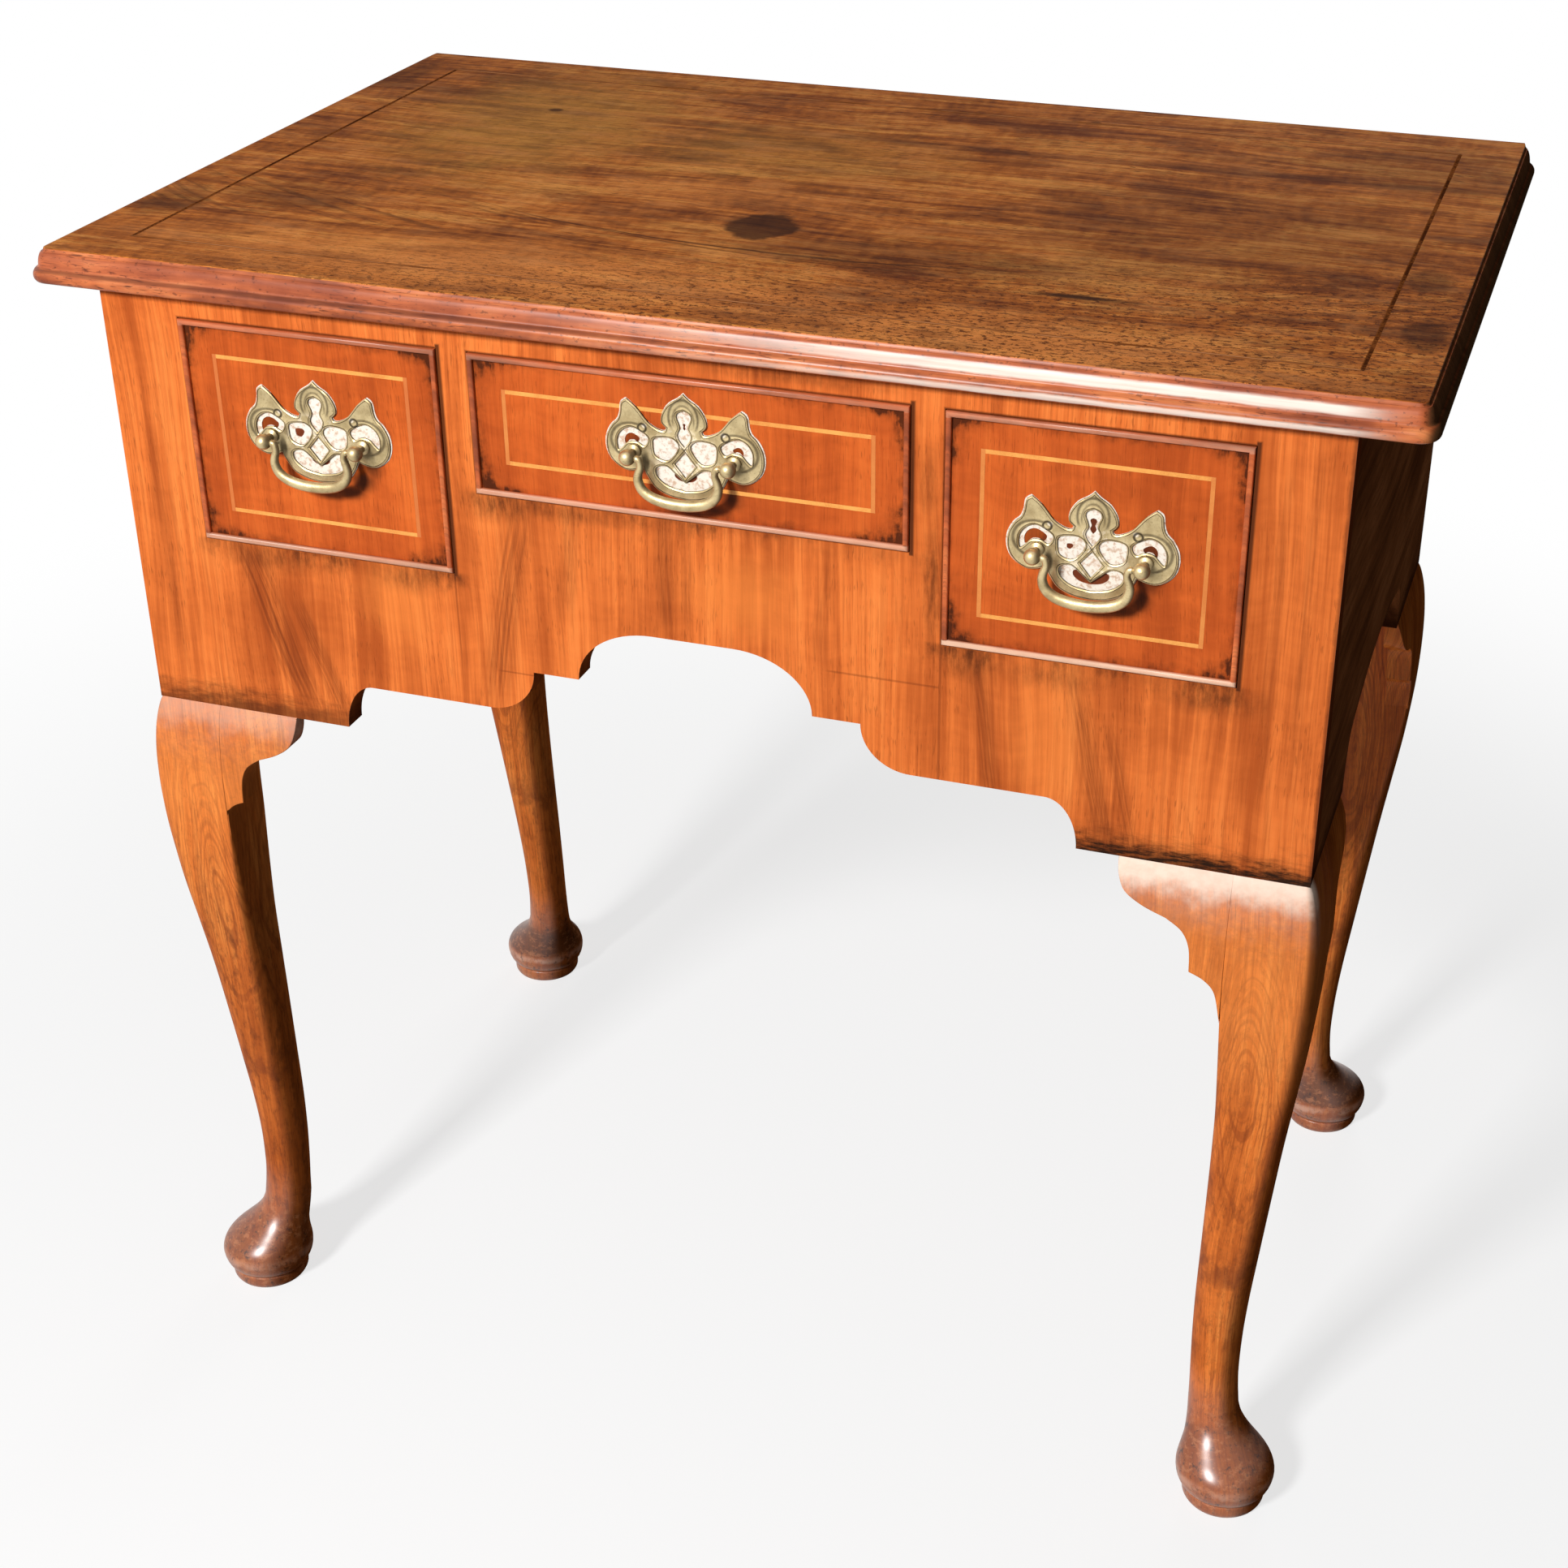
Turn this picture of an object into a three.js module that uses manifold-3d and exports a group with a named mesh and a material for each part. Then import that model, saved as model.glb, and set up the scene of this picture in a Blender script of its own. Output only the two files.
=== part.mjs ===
// A walnut lowboy of the early Georgian kind: three drawers over a shaped apron, on four cabriole legs.
// Lengths are millimetres. X runs across the front, Y from the front to the back, Z up from the floor.
// The pieces are laid out from the case's front face (y = 0), and the group's shift centres the table.

import * as THREE from 'three';
import { mergeVertices } from 'three/addons/utils/BufferGeometryUtils.js';
import Module from 'manifold-3d';

const wasm = await Module();
wasm.setup();

// Case and top
const overallHeight = 734;
const caseWidth = 700;
const caseDepth = 444;
const caseUnderside = 457;
const topThickness = 19;
const topSideOverhang = 39;
const topFrontOverhang = 12.5;
const topBackOverhang = 36;
const topCornerRadius = 12;
const topBackCornerRadius = 9;
const topMouldingWidth = 7;
const frontThickness = 16;
const sideThickness = 18;
const backThickness = 14;

// Drawer openings in the front, with their heights as shares of the case's height
const topRailHeight = 14;
const stileWidth = 48;
const dividerWidth = 18;
const sideDrawerWidth = 158;
const sideDrawerHeightShare = 0.51;
const middleDrawerHeightShare = 0.312;
const openingGap = 0.5;

// Shaped lower edge of the front, with its rises as shares of the case's height
const apronEndReach = 128;
const apronEndRiseShare = 0.1124;
const apronEndCove = 19;
const apronLobeWidth = 29;
const apronShoulderRiseShare = 0.217;
const apronArchHalfSpan = 70;
const apronLobeHalfSpan = 98;
const apronArchRiseShare = 0.349;
const apronArchCove = 46;

// Shaped lower edge of the sides
const sideEndReach = 110;
const sideEndRise = 36;
const sideEndCove = 20;
const sideArchRise = 48;

// Legs, feet and knee brackets
const legSquare = 41;
const footInset = 16;
const footRadius = 30.7;
const footHeight = 60;
const bracketReach = 104;
const leftBracketReach = 93;
const bracketDrop = 91;
const bracketBack = 8;

// How far three of the feet stand to the right of their places, with legs that bend that way below the knee
const leanFrontLeft = -8;
const leanBackLeft = 16;
const leanBackRight = -5;

// Runners and partitions
const ledgeWidth = 14;
const ledgeHeight = 14;
const guideHeight = 12;
const partitionDrop = 18;

// Drawer boxes
const drawerFrontThickness = 19;
const drawerSideThickness = 9;
const drawerBackThickness = 9;
const drawerBottomThickness = 6;
const bottomGrooveRaise = 8;
const bottomGrooveDepth = 4;
const dovetailLap = 7.5;
const dovetailPitch = 38;
const cockbeadWidth = 3.2;
const cockbeadProud = 2.5;
const cockbeadDepth = 6.7;

// Boxwood stringing, set in from the drawers' edges by a share of the middle drawer's height
const stringWidth = 2.4;
const stringDepth = 1.2;
const drawerStringInsetShare = 0.2311;
const topStringSideInset = 36;
const topStringFrontInset = 35.3;
const topStringBackInset = 39;

// Brass handles. The plate's width follows the middle drawer's height, the posts' spacing the plate's width
// and the bail's drop the posts' spacing.
const plateWidthShare = 1.113;
const postSpacingShare = 0.6362;
const bailDropShare = 0.414;
const plateThickness = 1.8;
const handleRise = -3;
const leftHandleRise = 3.8;
const leftHandleShift = 2;
const postReach = 12;
const ballRadius = 4.5;
const postNeckRadius = 2.2;
const postCollarRadius = 3.9;
const postCollarThickness = 1.6;
const postShankRadius = 2;
const postNutRadius = 5.5;
const postNutThickness = 3;
const bailPinRadius = 1.5;
const bailThickRadius = 2.6;
const bailPinReach = 1.6;

// Clearances and mesh steps
const glueGap = 0.05;
const seatGap = 0.3;
const overrun = 5;
const weldDistance = 1e-4;
const arcSteps = 8;
const cornerSteps = 4;
const plateSteps = 2;
const roundSteps = 12;
const ballSteps = 6;
const bailSteps = 28;
const bailSides = 8;

// Places that follow from the sizes
const caseTop = overallHeight - topThickness;
const caseHeight = caseTop - caseUnderside;
const halfCase = caseWidth / 2;
const topHalfWidth = halfCase + topSideOverhang;
const topBack = caseDepth + topBackOverhang;
const backFace = caseDepth - backThickness;
const sideInner = halfCase - sideThickness;
const openingTop = caseTop - topRailHeight;
const drawerTop = openingTop - openingGap;
const sideOpeningOuter = halfCase - stileWidth;
const sideDrawerOuter = sideOpeningOuter - openingGap;
const sideDrawerInner = sideDrawerOuter - sideDrawerWidth;
const dividerOuter = sideDrawerInner - openingGap;
const dividerInner = dividerOuter - dividerWidth;
const middleDrawerHalf = dividerInner - openingGap;
const middleDrawerHeight = middleDrawerHeightShare * caseHeight;
const sideDrawerFloor = drawerTop - sideDrawerHeightShare * caseHeight;
const middleDrawerFloor = drawerTop - middleDrawerHeight;
const drawerStringInset = drawerStringInsetShare * middleDrawerHeight;
const apronEndRise = apronEndRiseShare * caseHeight;
const apronShoulderRise = apronShoulderRiseShare * caseHeight;
const apronArchRise = apronArchRiseShare * caseHeight;
const plateWidth = plateWidthShare * middleDrawerHeight;
const postSpacing = postSpacingShare * plateWidth;
const bailDrop = bailDropShare * postSpacing;
const drawerBackEnd = backFace - openingGap;
const handleFront = -postReach - ballRadius;
const originY = (topBack + handleFront) / 2;

// Finishes, read from the photograph
const finishes = {
  top: new THREE.MeshStandardMaterial({ color: 0x8a5a2c, roughness: 0.38, metalness: 0 }),
  walnut: new THREE.MeshStandardMaterial({ color: 0xc8692e, roughness: 0.42, metalness: 0 }),
  drawerWalnut: new THREE.MeshStandardMaterial({ color: 0xb9592a, roughness: 0.42, metalness: 0 }),
  leg: new THREE.MeshStandardMaterial({ color: 0xb5642a, roughness: 0.4, metalness: 0 }),
  boxwood: new THREE.MeshStandardMaterial({ color: 0xe2a04f, roughness: 0.45, metalness: 0 }),
  oak: new THREE.MeshStandardMaterial({ color: 0xa98455, roughness: 0.7, metalness: 0 }),
  brass: new THREE.MeshStandardMaterial({ color: 0xb3a468, roughness: 0.35, metalness: 0.9 }),
};

// Turns a list of triangle corners into a geometry whose faces point outwards.
function fromTriangles(corners) {
  const geometry = new THREE.BufferGeometry();
  geometry.setAttribute('position', new THREE.Float32BufferAttribute(corners.flat(), 3));
  return outward(geometry);
}

// Reverses the triangles of a closed geometry whose faces point inwards.
function outward(geometry) {
  const position = geometry.getAttribute('position');
  const corner = [new THREE.Vector3(), new THREE.Vector3(), new THREE.Vector3()];
  let volume = 0;
  for (let i = 0; i < position.count; i += 3) {
    corner.forEach((point, k) => point.fromBufferAttribute(position, i + k));
    volume += corner[0].dot(corner[1].clone().cross(corner[2]));
  }
  if (volume < 0) {
    for (let i = 0; i < position.count; i += 3) {
      corner.forEach((point, k) => point.fromBufferAttribute(position, i + k));
      position.setXYZ(i + 1, corner[2].x, corner[2].y, corner[2].z);
      position.setXYZ(i + 2, corner[1].x, corner[1].y, corner[1].z);
    }
  }
  geometry.computeVertexNormals();
  return geometry;
}

// Moves every vertex by a rule, and keeps the faces pointing outwards.
function mapped(geometry, rule) {
  const loose = geometry.index ? geometry.toNonIndexed() : geometry.clone();
  loose.deleteAttribute('uv');
  const position = loose.getAttribute('position');
  for (let i = 0; i < position.count; i += 1) {
    const [x, y, z] = rule(position.getX(i), position.getY(i), position.getZ(i));
    position.setXYZ(i, x, y, z);
  }
  return outward(loose);
}

const mirrored = (geometry) => mapped(geometry, (x, y, z) => [-x, y, z]);
const turnedToBack = (geometry) => mapped(geometry, (x, y, z) => [x, caseDepth - y, z]);

// A box between two corners.
function slab(x0, x1, y0, y1, z0, z1) {
  const unit = new THREE.BoxGeometry(1, 1, 1);
  return mapped(unit, (x, y, z) => [x < 0 ? x0 : x1, y < 0 ? y0 : y1, z < 0 ? z0 : z1]);
}

// An outline run along one axis. It is read as (y, z), (x, z) or (x, y) for a run along x, y or z.
function prism(outline, axis, from, to, steps = arcSteps) {
  const unit = new THREE.ExtrudeGeometry(outline, { depth: 1, bevelEnabled: false, curveSegments: steps });
  return mapped(unit, (u, v, w) => {
    const run = w > 0 ? to : from;
    if (axis === 'x') return [run, u, v];
    if (axis === 'y') return [u, run, v];
    return [u, v, run];
  });
}

// A skin through closed rings of equally many points, with flat ends.
function loft(rings) {
  const corners = [];
  const count = rings[0].length;
  for (let k = 0; k + 1 < rings.length; k += 1) {
    for (let i = 0; i < count; i += 1) {
      const j = (i + 1) % count;
      corners.push(rings[k][i], rings[k][j], rings[k + 1][j]);
      corners.push(rings[k][i], rings[k + 1][j], rings[k + 1][i]);
    }
  }
  const first = rings[0];
  const last = rings[rings.length - 1];
  for (let i = 1; i + 1 < count; i += 1) {
    corners.push(first[0], first[i + 1], first[i]);
    corners.push(last[0], last[i], last[i + 1]);
  }
  return fromTriangles(corners);
}

// A profile of [inset, depth] pairs carried round a rectangle with mitred corners.
function mitredFrame(u0, u1, v0, v1, profile, place) {
  const around = profile.map(([inset, depth]) => [
    place(u0 + inset, v0 + inset, depth),
    place(u1 - inset, v0 + inset, depth),
    place(u1 - inset, v1 - inset, depth),
    place(u0 + inset, v1 - inset, depth),
  ]);
  const corners = [];
  around.forEach((here, p) => {
    const next = around[(p + 1) % around.length];
    here.forEach((corner, c) => {
      const d = (c + 1) % here.length;
      corners.push(corner, here[d], next[d]);
      corners.push(corner, next[d], next[c]);
    });
  });
  return fromTriangles(corners);
}

function solid(geometry) {
  const bare = geometry.clone();
  bare.deleteAttribute('normal');
  bare.deleteAttribute('uv');
  const welded = mergeVertices(bare, weldDistance);
  const vertProperties = welded.getAttribute('position').array;
  const triVerts = Uint32Array.from(welded.index.array);
  return new wasm.Manifold(new wasm.Mesh({ numProp: 3, vertProperties, triVerts }));
}

function fromSolid(body) {
  const mesh = body.getMesh();
  const geometry = new THREE.BufferGeometry();
  geometry.setAttribute('position', new THREE.BufferAttribute(mesh.vertProperties, 3));
  geometry.setIndex(Array.from(mesh.triVerts));
  geometry.computeVertexNormals();
  return geometry;
}

const cut = (base, ...tools) => fromSolid(
  tools.reduce((left, tool) => left.subtract(solid(tool)), solid(base)),
);
const joined = (base, ...others) => fromSolid(
  others.reduce((sum, other) => sum.add(solid(other)), solid(base)),
);
const common = (a, b) => fromSolid(solid(a).intersect(solid(b)));

const lowboy = new THREE.Group();
lowboy.name = 'lowboy';
lowboy.position.y = -originY;

function add(name, geometry, finish) {
  const mesh = new THREE.Mesh(geometry, finish);
  mesh.name = name;
  lowboy.add(mesh);
}

function addPair(name, geometry, finish) {
  add(`${name}_right`, geometry, finish);
  add(`${name}_left`, mirrored(geometry), finish);
}

// Top board

// The edge moulding as shares of the moulding's width and the board's thickness, from the underside up:
// a half-round nose, a shallow cove, an ovolo and a fine square arris.
const topEdgeShares = [
  [0.5, 0], [0.18, 0.04], [0.02, 0.13], [0, 0.22], [0.06, 0.31], [0.22, 0.39], [0.42, 0.44], [0.5, 0.5],
  [0.53, 0.58], [0.6, 0.7], [0.72, 0.81], [0.88, 0.885], [1.08, 0.91], [1.08, 1],
];

function topOutline(inset, z) {
  const radius = topCornerRadius - inset;
  const halfWidth = topHalfWidth - inset;
  const front = inset - topFrontOverhang;
  const backRadius = topBackCornerRadius;
  const quarter = Array.from({ length: arcSteps + 1 }, (unused, i) => (Math.PI / 2) * (i / arcSteps));
  const backCorner = quarter.map((angle) => [
    topHalfWidth - backRadius + (backRadius - inset) * Math.sin(angle),
    topBack - backRadius + backRadius * Math.cos(angle),
    z,
  ]);
  const frontCorner = quarter.map((angle) => [
    halfWidth - radius + radius * Math.cos(angle),
    front + radius - radius * Math.sin(angle),
    z,
  ]);
  const right = [...backCorner, ...frontCorner];
  return [...right, ...right.slice().reverse().map(([x, y, height]) => [-x, y, height])];
}

const topString = {
  x: topHalfWidth - topMouldingWidth - topStringSideInset,
  front: topMouldingWidth + topStringFrontInset - topFrontOverhang,
  back: topBack - topStringBackInset,
};

function stringProfile(width, depth, face) {
  return [[0, face], [width, face], [width, face + depth], [0, face + depth]];
}

function makeTop() {
  const rings = topEdgeShares.map(([inset, height]) => topOutline(
    inset * topMouldingWidth,
    height === 1 ? overallHeight : caseTop + height * topThickness,
  ));
  const flat = (u, v, depth) => [u, v, overallHeight - depth];
  const { x, front, back } = topString;
  const grooveProfile = stringProfile(stringWidth, stringDepth + overrun, -overrun);
  const groove = mitredFrame(-x, x, front, back, grooveProfile, flat);
  add('top_board', cut(loft(rings), groove), finishes.top);
  const inlay = stringProfile(stringWidth - 2 * glueGap, stringDepth - glueGap, 0);
  const string = mitredFrame(-x + glueGap, x - glueGap, front + glueGap, back - glueGap, inlay, flat);
  add('top_stringing', string, finishes.boxwood);
}

// Front frame, sides and back

function apronOutline() {
  const floor = caseUnderside;
  const end = sideOpeningOuter;
  const endReach = halfCase - apronEndReach;
  const shape = new THREE.Shape();
  const half = new THREE.Path();
  half.moveTo(end, floor);
  half.lineTo(endReach, floor);
  half.absellipse(endReach - apronEndCove, floor, apronEndCove, apronEndRise, 0, Math.PI / 2, false);
  const lobeTop = floor + apronShoulderRise;
  const lobeHeight = apronShoulderRise - apronEndRise;
  const lobeCentre = apronLobeHalfSpan + apronLobeWidth;
  half.absellipse(lobeCentre, lobeTop, apronLobeWidth, lobeHeight, -Math.PI / 2, -Math.PI, true);
  half.lineTo(apronArchHalfSpan, lobeTop);
  const archHeight = apronArchRise - apronShoulderRise;
  const coveCentre = apronArchHalfSpan - apronArchCove;
  half.absellipse(coveCentre, lobeTop, apronArchCove, archHeight, 0, Math.PI / 2, false);
  const points = half.getPoints(arcSteps);
  const sideTop = sideDrawerFloor - openingGap;
  const middleTop = middleDrawerFloor - openingGap;
  const rightSide = [
    new THREE.Vector2(dividerOuter, middleTop),
    new THREE.Vector2(dividerOuter, sideTop),
    new THREE.Vector2(end, sideTop),
    ...points,
  ];
  const leftSide = rightSide.map((point) => new THREE.Vector2(-point.x, point.y)).reverse();
  shape.setFromPoints([...rightSide, ...leftSide]);
  return shape;
}

function sideOutline() {
  const floor = caseUnderside;
  const near = sideEndReach;
  const far = caseDepth - sideEndReach;
  const shape = new THREE.Shape();
  shape.moveTo(frontThickness, caseTop);
  shape.lineTo(frontThickness, floor);
  shape.lineTo(near, floor);
  shape.absellipse(near + sideEndCove, floor, sideEndCove, sideEndRise, Math.PI, Math.PI / 2, true);
  shape.quadraticCurveTo(
    (near + far) / 2,
    floor + 2 * sideArchRise - sideEndRise,
    far - sideEndCove,
    floor + sideEndRise,
  );
  shape.absellipse(far - sideEndCove, floor, sideEndCove, sideEndRise, Math.PI / 2, 0, true);
  shape.lineTo(caseDepth, floor);
  shape.lineTo(caseDepth, caseTop);
  return shape;
}

function makeCase() {
  const front = frontThickness;
  const topRail = slab(-sideOpeningOuter, sideOpeningOuter, 0, front, openingTop, caseTop);
  add('top_rail', topRail, finishes.walnut);
  addPair('stile', slab(sideOpeningOuter, halfCase, 0, front, caseUnderside, caseTop), finishes.walnut);
  const dividerFoot = middleDrawerFloor - openingGap;
  addPair('divider', slab(dividerInner, dividerOuter, 0, front, dividerFoot, openingTop), finishes.walnut);
  add('apron', prism(apronOutline(), 'y', 0, front), finishes.walnut);
  addPair('side', prism(sideOutline(), 'x', sideInner, halfCase), finishes.walnut);
  add('back_panel', slab(-sideInner, sideInner, backFace, caseDepth, caseUnderside, caseTop), finishes.oak);
}

// Each partition carries the inner side of a side drawer and one side of the middle drawer.
function partitionOutline() {
  const sideSeat = sideDrawerFloor - seatGap;
  const middleSeat = middleDrawerFloor - seatGap;
  const foot = sideSeat - partitionDrop;
  return new THREE.Shape([
    [dividerInner, foot],
    [dividerOuter, foot],
    [dividerOuter, sideSeat - ledgeHeight],
    [dividerOuter + ledgeWidth, sideSeat - ledgeHeight],
    [dividerOuter + ledgeWidth, sideSeat],
    [dividerOuter, sideSeat],
    [dividerOuter, caseTop],
    [dividerInner, caseTop],
    [dividerInner, middleSeat],
    [dividerInner - ledgeWidth, middleSeat],
    [dividerInner - ledgeWidth, middleSeat - ledgeHeight],
    [dividerInner, middleSeat - ledgeHeight],
  ].map(([x, z]) => new THREE.Vector2(x, z)));
}

function makeRunners() {
  addPair('partition', prism(partitionOutline(), 'y', frontThickness, backFace), finishes.oak);
  const seat = sideDrawerFloor - seatGap;
  const ledgeInner = sideOpeningOuter - ledgeWidth;
  const postInner = halfCase - legSquare;
  const foot = seat - ledgeHeight;
  const ledge = slab(ledgeInner, postInner - seatGap, frontThickness, backFace, foot, seat);
  const guideStart = legSquare + seatGap;
  const guideEnd = caseDepth - legSquare - seatGap;
  const guideTop = seat + guideHeight;
  const guide = slab(sideOpeningOuter, sideInner - glueGap, guideStart, guideEnd, foot, guideTop);
  addPair('runner', joined(ledge, guide), finishes.oak);
}

// Cabriole legs

// The leg's two sawn profiles and its rounding, from the knee down to the ankle. Each row is the height as
// a share of the case's underside, the outward swell and the inner face as shares of the leg square, then
// the rounding of the outer corner, of the two corners beside the brackets and of the inner corner.
const legShares = [
  [1, 0, 1, 0.12, 0.02, 0.06],
  [0.99, 0.052, 1, 0.18, 0.02, 0.14],
  [0.972, 0.11, 1, 0.24, 0.03, 0.24],
  [0.95, 0.156, 1, 0.28, 0.03, 0.34],
  [0.919, 0.193, 1, 0.32, 0.03, 0.42],
  [0.884, 0.21, 1, 0.35, 0.04, 0.47],
  [0.849, 0.212, 1, 0.38, 0.05, 0.5],
  [0.81, 0.2, 1, 0.41, 0.08, 0.52],
  [0.766, 0.168, 0.992, 0.44, 0.14, 0.54],
  [0.711, 0.115, 0.985, 0.48, 0.24, 0.57],
  [0.645, 0.03, 0.985, 0.55, 0.37, 0.61],
  [0.569, -0.066, 1.01, 0.64, 0.53, 0.68],
  [0.481, -0.158, 1.045, 0.75, 0.7, 0.77],
  [0.394, -0.246, 1.08, 0.86, 0.84, 0.87],
  [0.317, -0.322, 1.108, 0.95, 0.94, 0.95],
  [0.252, -0.366, 1.115, 1, 1, 1],
  [0.193, -0.375, 1.1, 1, 1, 1],
  [0.158, -0.352, 1.087, 1, 1, 1],
];

// The pad foot: height as a share of the foot's height, radius as a share of its radius, and how far the
// ring's centre has moved from the foot's centre towards the ankle's.
const footShares = [
  [1, 0.51, 0.94], [0.867, 0.553, 0.81], [0.75, 0.638, 0.6], [0.65, 0.75, 0.36], [0.56, 0.866, 0.165],
  [0.475, 0.951, 0.045], [0.385, 0.997, 0], [0.3, 0.985, 0], [0.225, 0.935, 0], [0.17, 0.855, 0],
  [0.15, 0.815, 0], [0.125, 0.834, 0], [0.045, 0.834, 0], [0, 0.79, 0],
];

// A square with its corners rounded one by one, in insets from the two outer faces of the case.
function legRing(low, high, outerShare, besideShare, innerShare, z) {
  const half = (high - low) / 2;
  const corner = [
    [low, low, outerShare, Math.PI],
    [high, low, besideShare, 1.5 * Math.PI],
    [high, high, innerShare, 0],
    [low, high, besideShare, 0.5 * Math.PI],
  ];
  const ring = [];
  corner.forEach(([u, v, share, start]) => {
    const radius = share * half;
    const centreU = u === low ? u + radius : u - radius;
    const centreV = v === low ? v + radius : v - radius;
    for (let i = 0; i <= cornerSteps; i += 1) {
      const angle = start + (Math.PI / 2) * (i / cornerSteps);
      ring.push([centreU + radius * Math.cos(angle), centreV + radius * Math.sin(angle), z]);
    }
  });
  return ring;
}

const kneeSwell = legShares.map(([height, swell]) => [-swell * legSquare, height * caseUnderside]);

function legGeometry() {
  const shaft = legShares.map(([height, swell, inner, ...rounding]) => (
    legRing(-swell * legSquare, inner * legSquare, ...rounding, height * caseUnderside)
  ));
  const [, ankleSwell, ankleInner] = legShares[legShares.length - 1];
  const ankleInset = ((ankleInner - ankleSwell) / 2) * legSquare;
  const foot = footShares.map(([height, size, drift]) => {
    const centre = footInset + drift * (ankleInset - footInset);
    const radius = size * footRadius;
    return legRing(centre - radius, centre + radius, 1, 1, 1, height * footHeight);
  });
  return mapped(loft([...shaft, ...foot]), (u, v, z) => [halfCase - u, v, z]);
}

// The post that runs up inside the case corner, between the inner faces of the boards that meet there.
function legWithPost(boardThickness) {
  const low = halfCase - legSquare;
  const post = slab(low, sideInner, boardThickness, legSquare, caseUnderside - overrun, caseTop - seatGap);
  return joined(legGeometry(), post);
}

// The bracket's outline in reach from the case corner and drop below the case, as shares.
const bracketLobeShares = [[1, 0], [0.99, 0.1], [0.95, 0.2], [0.85, 0.275], [0.72, 0.33]];
const bracketHollowShares = [[0.72, 0.33], [0.63, 0.4], [0.585, 0.51], [0.575, 0.67]];
const bracketTailShares = [[0.575, 0.67], [0.49, 0.715], [0.43, 0.8], [0.394, 1]];

function bracketOutline(reachOut) {
  const sampled = [bracketLobeShares, bracketHollowShares, bracketTailShares].map((shares) => {
    const points = shares.map(([reach, drop]) => (
      new THREE.Vector2(reach * reachOut, caseUnderside - drop * bracketDrop)
    ));
    return new THREE.SplineCurve(points).getPoints(arcSteps / 2);
  });
  const edge = sampled.flatMap((points, k) => (k === 0 ? points : points.slice(1)));
  const outer = edge.filter((point) => point.x > legSquare);
  const foot = new THREE.Vector2(legSquare, caseUnderside - bracketDrop);
  return new THREE.Shape([new THREE.Vector2(legSquare, caseUnderside), ...outer, foot]);
}

// A bracket that carries the knee's swell along the front, in insets from the case corner.
function bracketGeometry(reachOut) {
  const swellEdge = kneeSwell.filter(([, z]) => z > caseUnderside - bracketDrop - legSquare);
  const lowest = swellEdge[swellEdge.length - 1][1];
  const section = new THREE.Shape([
    ...swellEdge.map(([v, z]) => new THREE.Vector2(v, z)),
    new THREE.Vector2(bracketBack, lowest),
    new THREE.Vector2(bracketBack, caseUnderside),
  ]);
  const swept = prism(section, 'x', legSquare, reachOut + overrun);
  const outline = prism(bracketOutline(reachOut), 'y', -legSquare, legSquare);
  return common(swept, outline);
}

// Bends a leg sideways below its brackets, until the foot stands the given length to the right.
function leaning(geometry, lean) {
  return mapped(geometry, (x, y, z) => {
    const bend = THREE.MathUtils.smoothstep(caseUnderside - z, bracketDrop, caseUnderside);
    return [x + lean * bend, y, z];
  });
}

function makeLegs() {
  const frontLeg = legWithPost(frontThickness);
  const backLeg = turnedToBack(legWithPost(backThickness));
  add('leg_front_right', frontLeg, finishes.leg);
  add('leg_front_left', leaning(mirrored(frontLeg), leanFrontLeft), finishes.leg);
  add('leg_back_right', leaning(backLeg, leanBackRight), finishes.leg);
  add('leg_back_left', leaning(mirrored(backLeg), leanBackLeft), finishes.leg);
  const bracket = bracketGeometry(bracketReach);
  const shorter = bracketGeometry(leftBracketReach);
  const onRight = mapped(bracket, (reach, v, z) => [halfCase - reach, v, z]);
  const onLeft = mapped(shorter, (reach, v, z) => [reach - halfCase, v, z]);
  add('knee_bracket_front_right', onRight, finishes.leg);
  add('knee_bracket_front_left', onLeft, finishes.leg);
  const alongSide = mapped(bracket, (reach, v, z) => [halfCase - v, reach, z]);
  addPair('knee_bracket_side_front', alongSide, finishes.leg);
  addPair('knee_bracket_side_back', turnedToBack(alongSide), finishes.leg);
}

// Drawers

// One dovetail's corners in (y, z), from its narrow root at `root` to its wide end at `tip`.
const tailRootShare = 0.27;
const tailTipShare = 0.38;

function tails(root, tip, low, high, clearance) {
  const count = Math.max(2, Math.round((high - low) / dovetailPitch));
  const pitch = (high - low) / count;
  return Array.from({ length: count }, (unused, i) => {
    const centre = low + pitch * (i + 1 / 2);
    const rootHalf = tailRootShare * pitch + clearance;
    const tipHalf = tailTipShare * pitch + clearance;
    const end = tip + Math.sign(tip - root) * clearance;
    return [
      [root, centre - rootHalf],
      [end, centre - tipHalf],
      [end, centre + tipHalf],
      [root, centre + rootHalf],
    ];
  });
}

const shapeOf = (points) => new THREE.Shape(points.map(([u, v]) => new THREE.Vector2(u, v)));

// The drawer's back stands on its bottom board, which slides in under it.
const backBoardFoot = (z0) => z0 + bottomGrooveRaise + drawerBottomThickness + seatGap;

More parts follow.
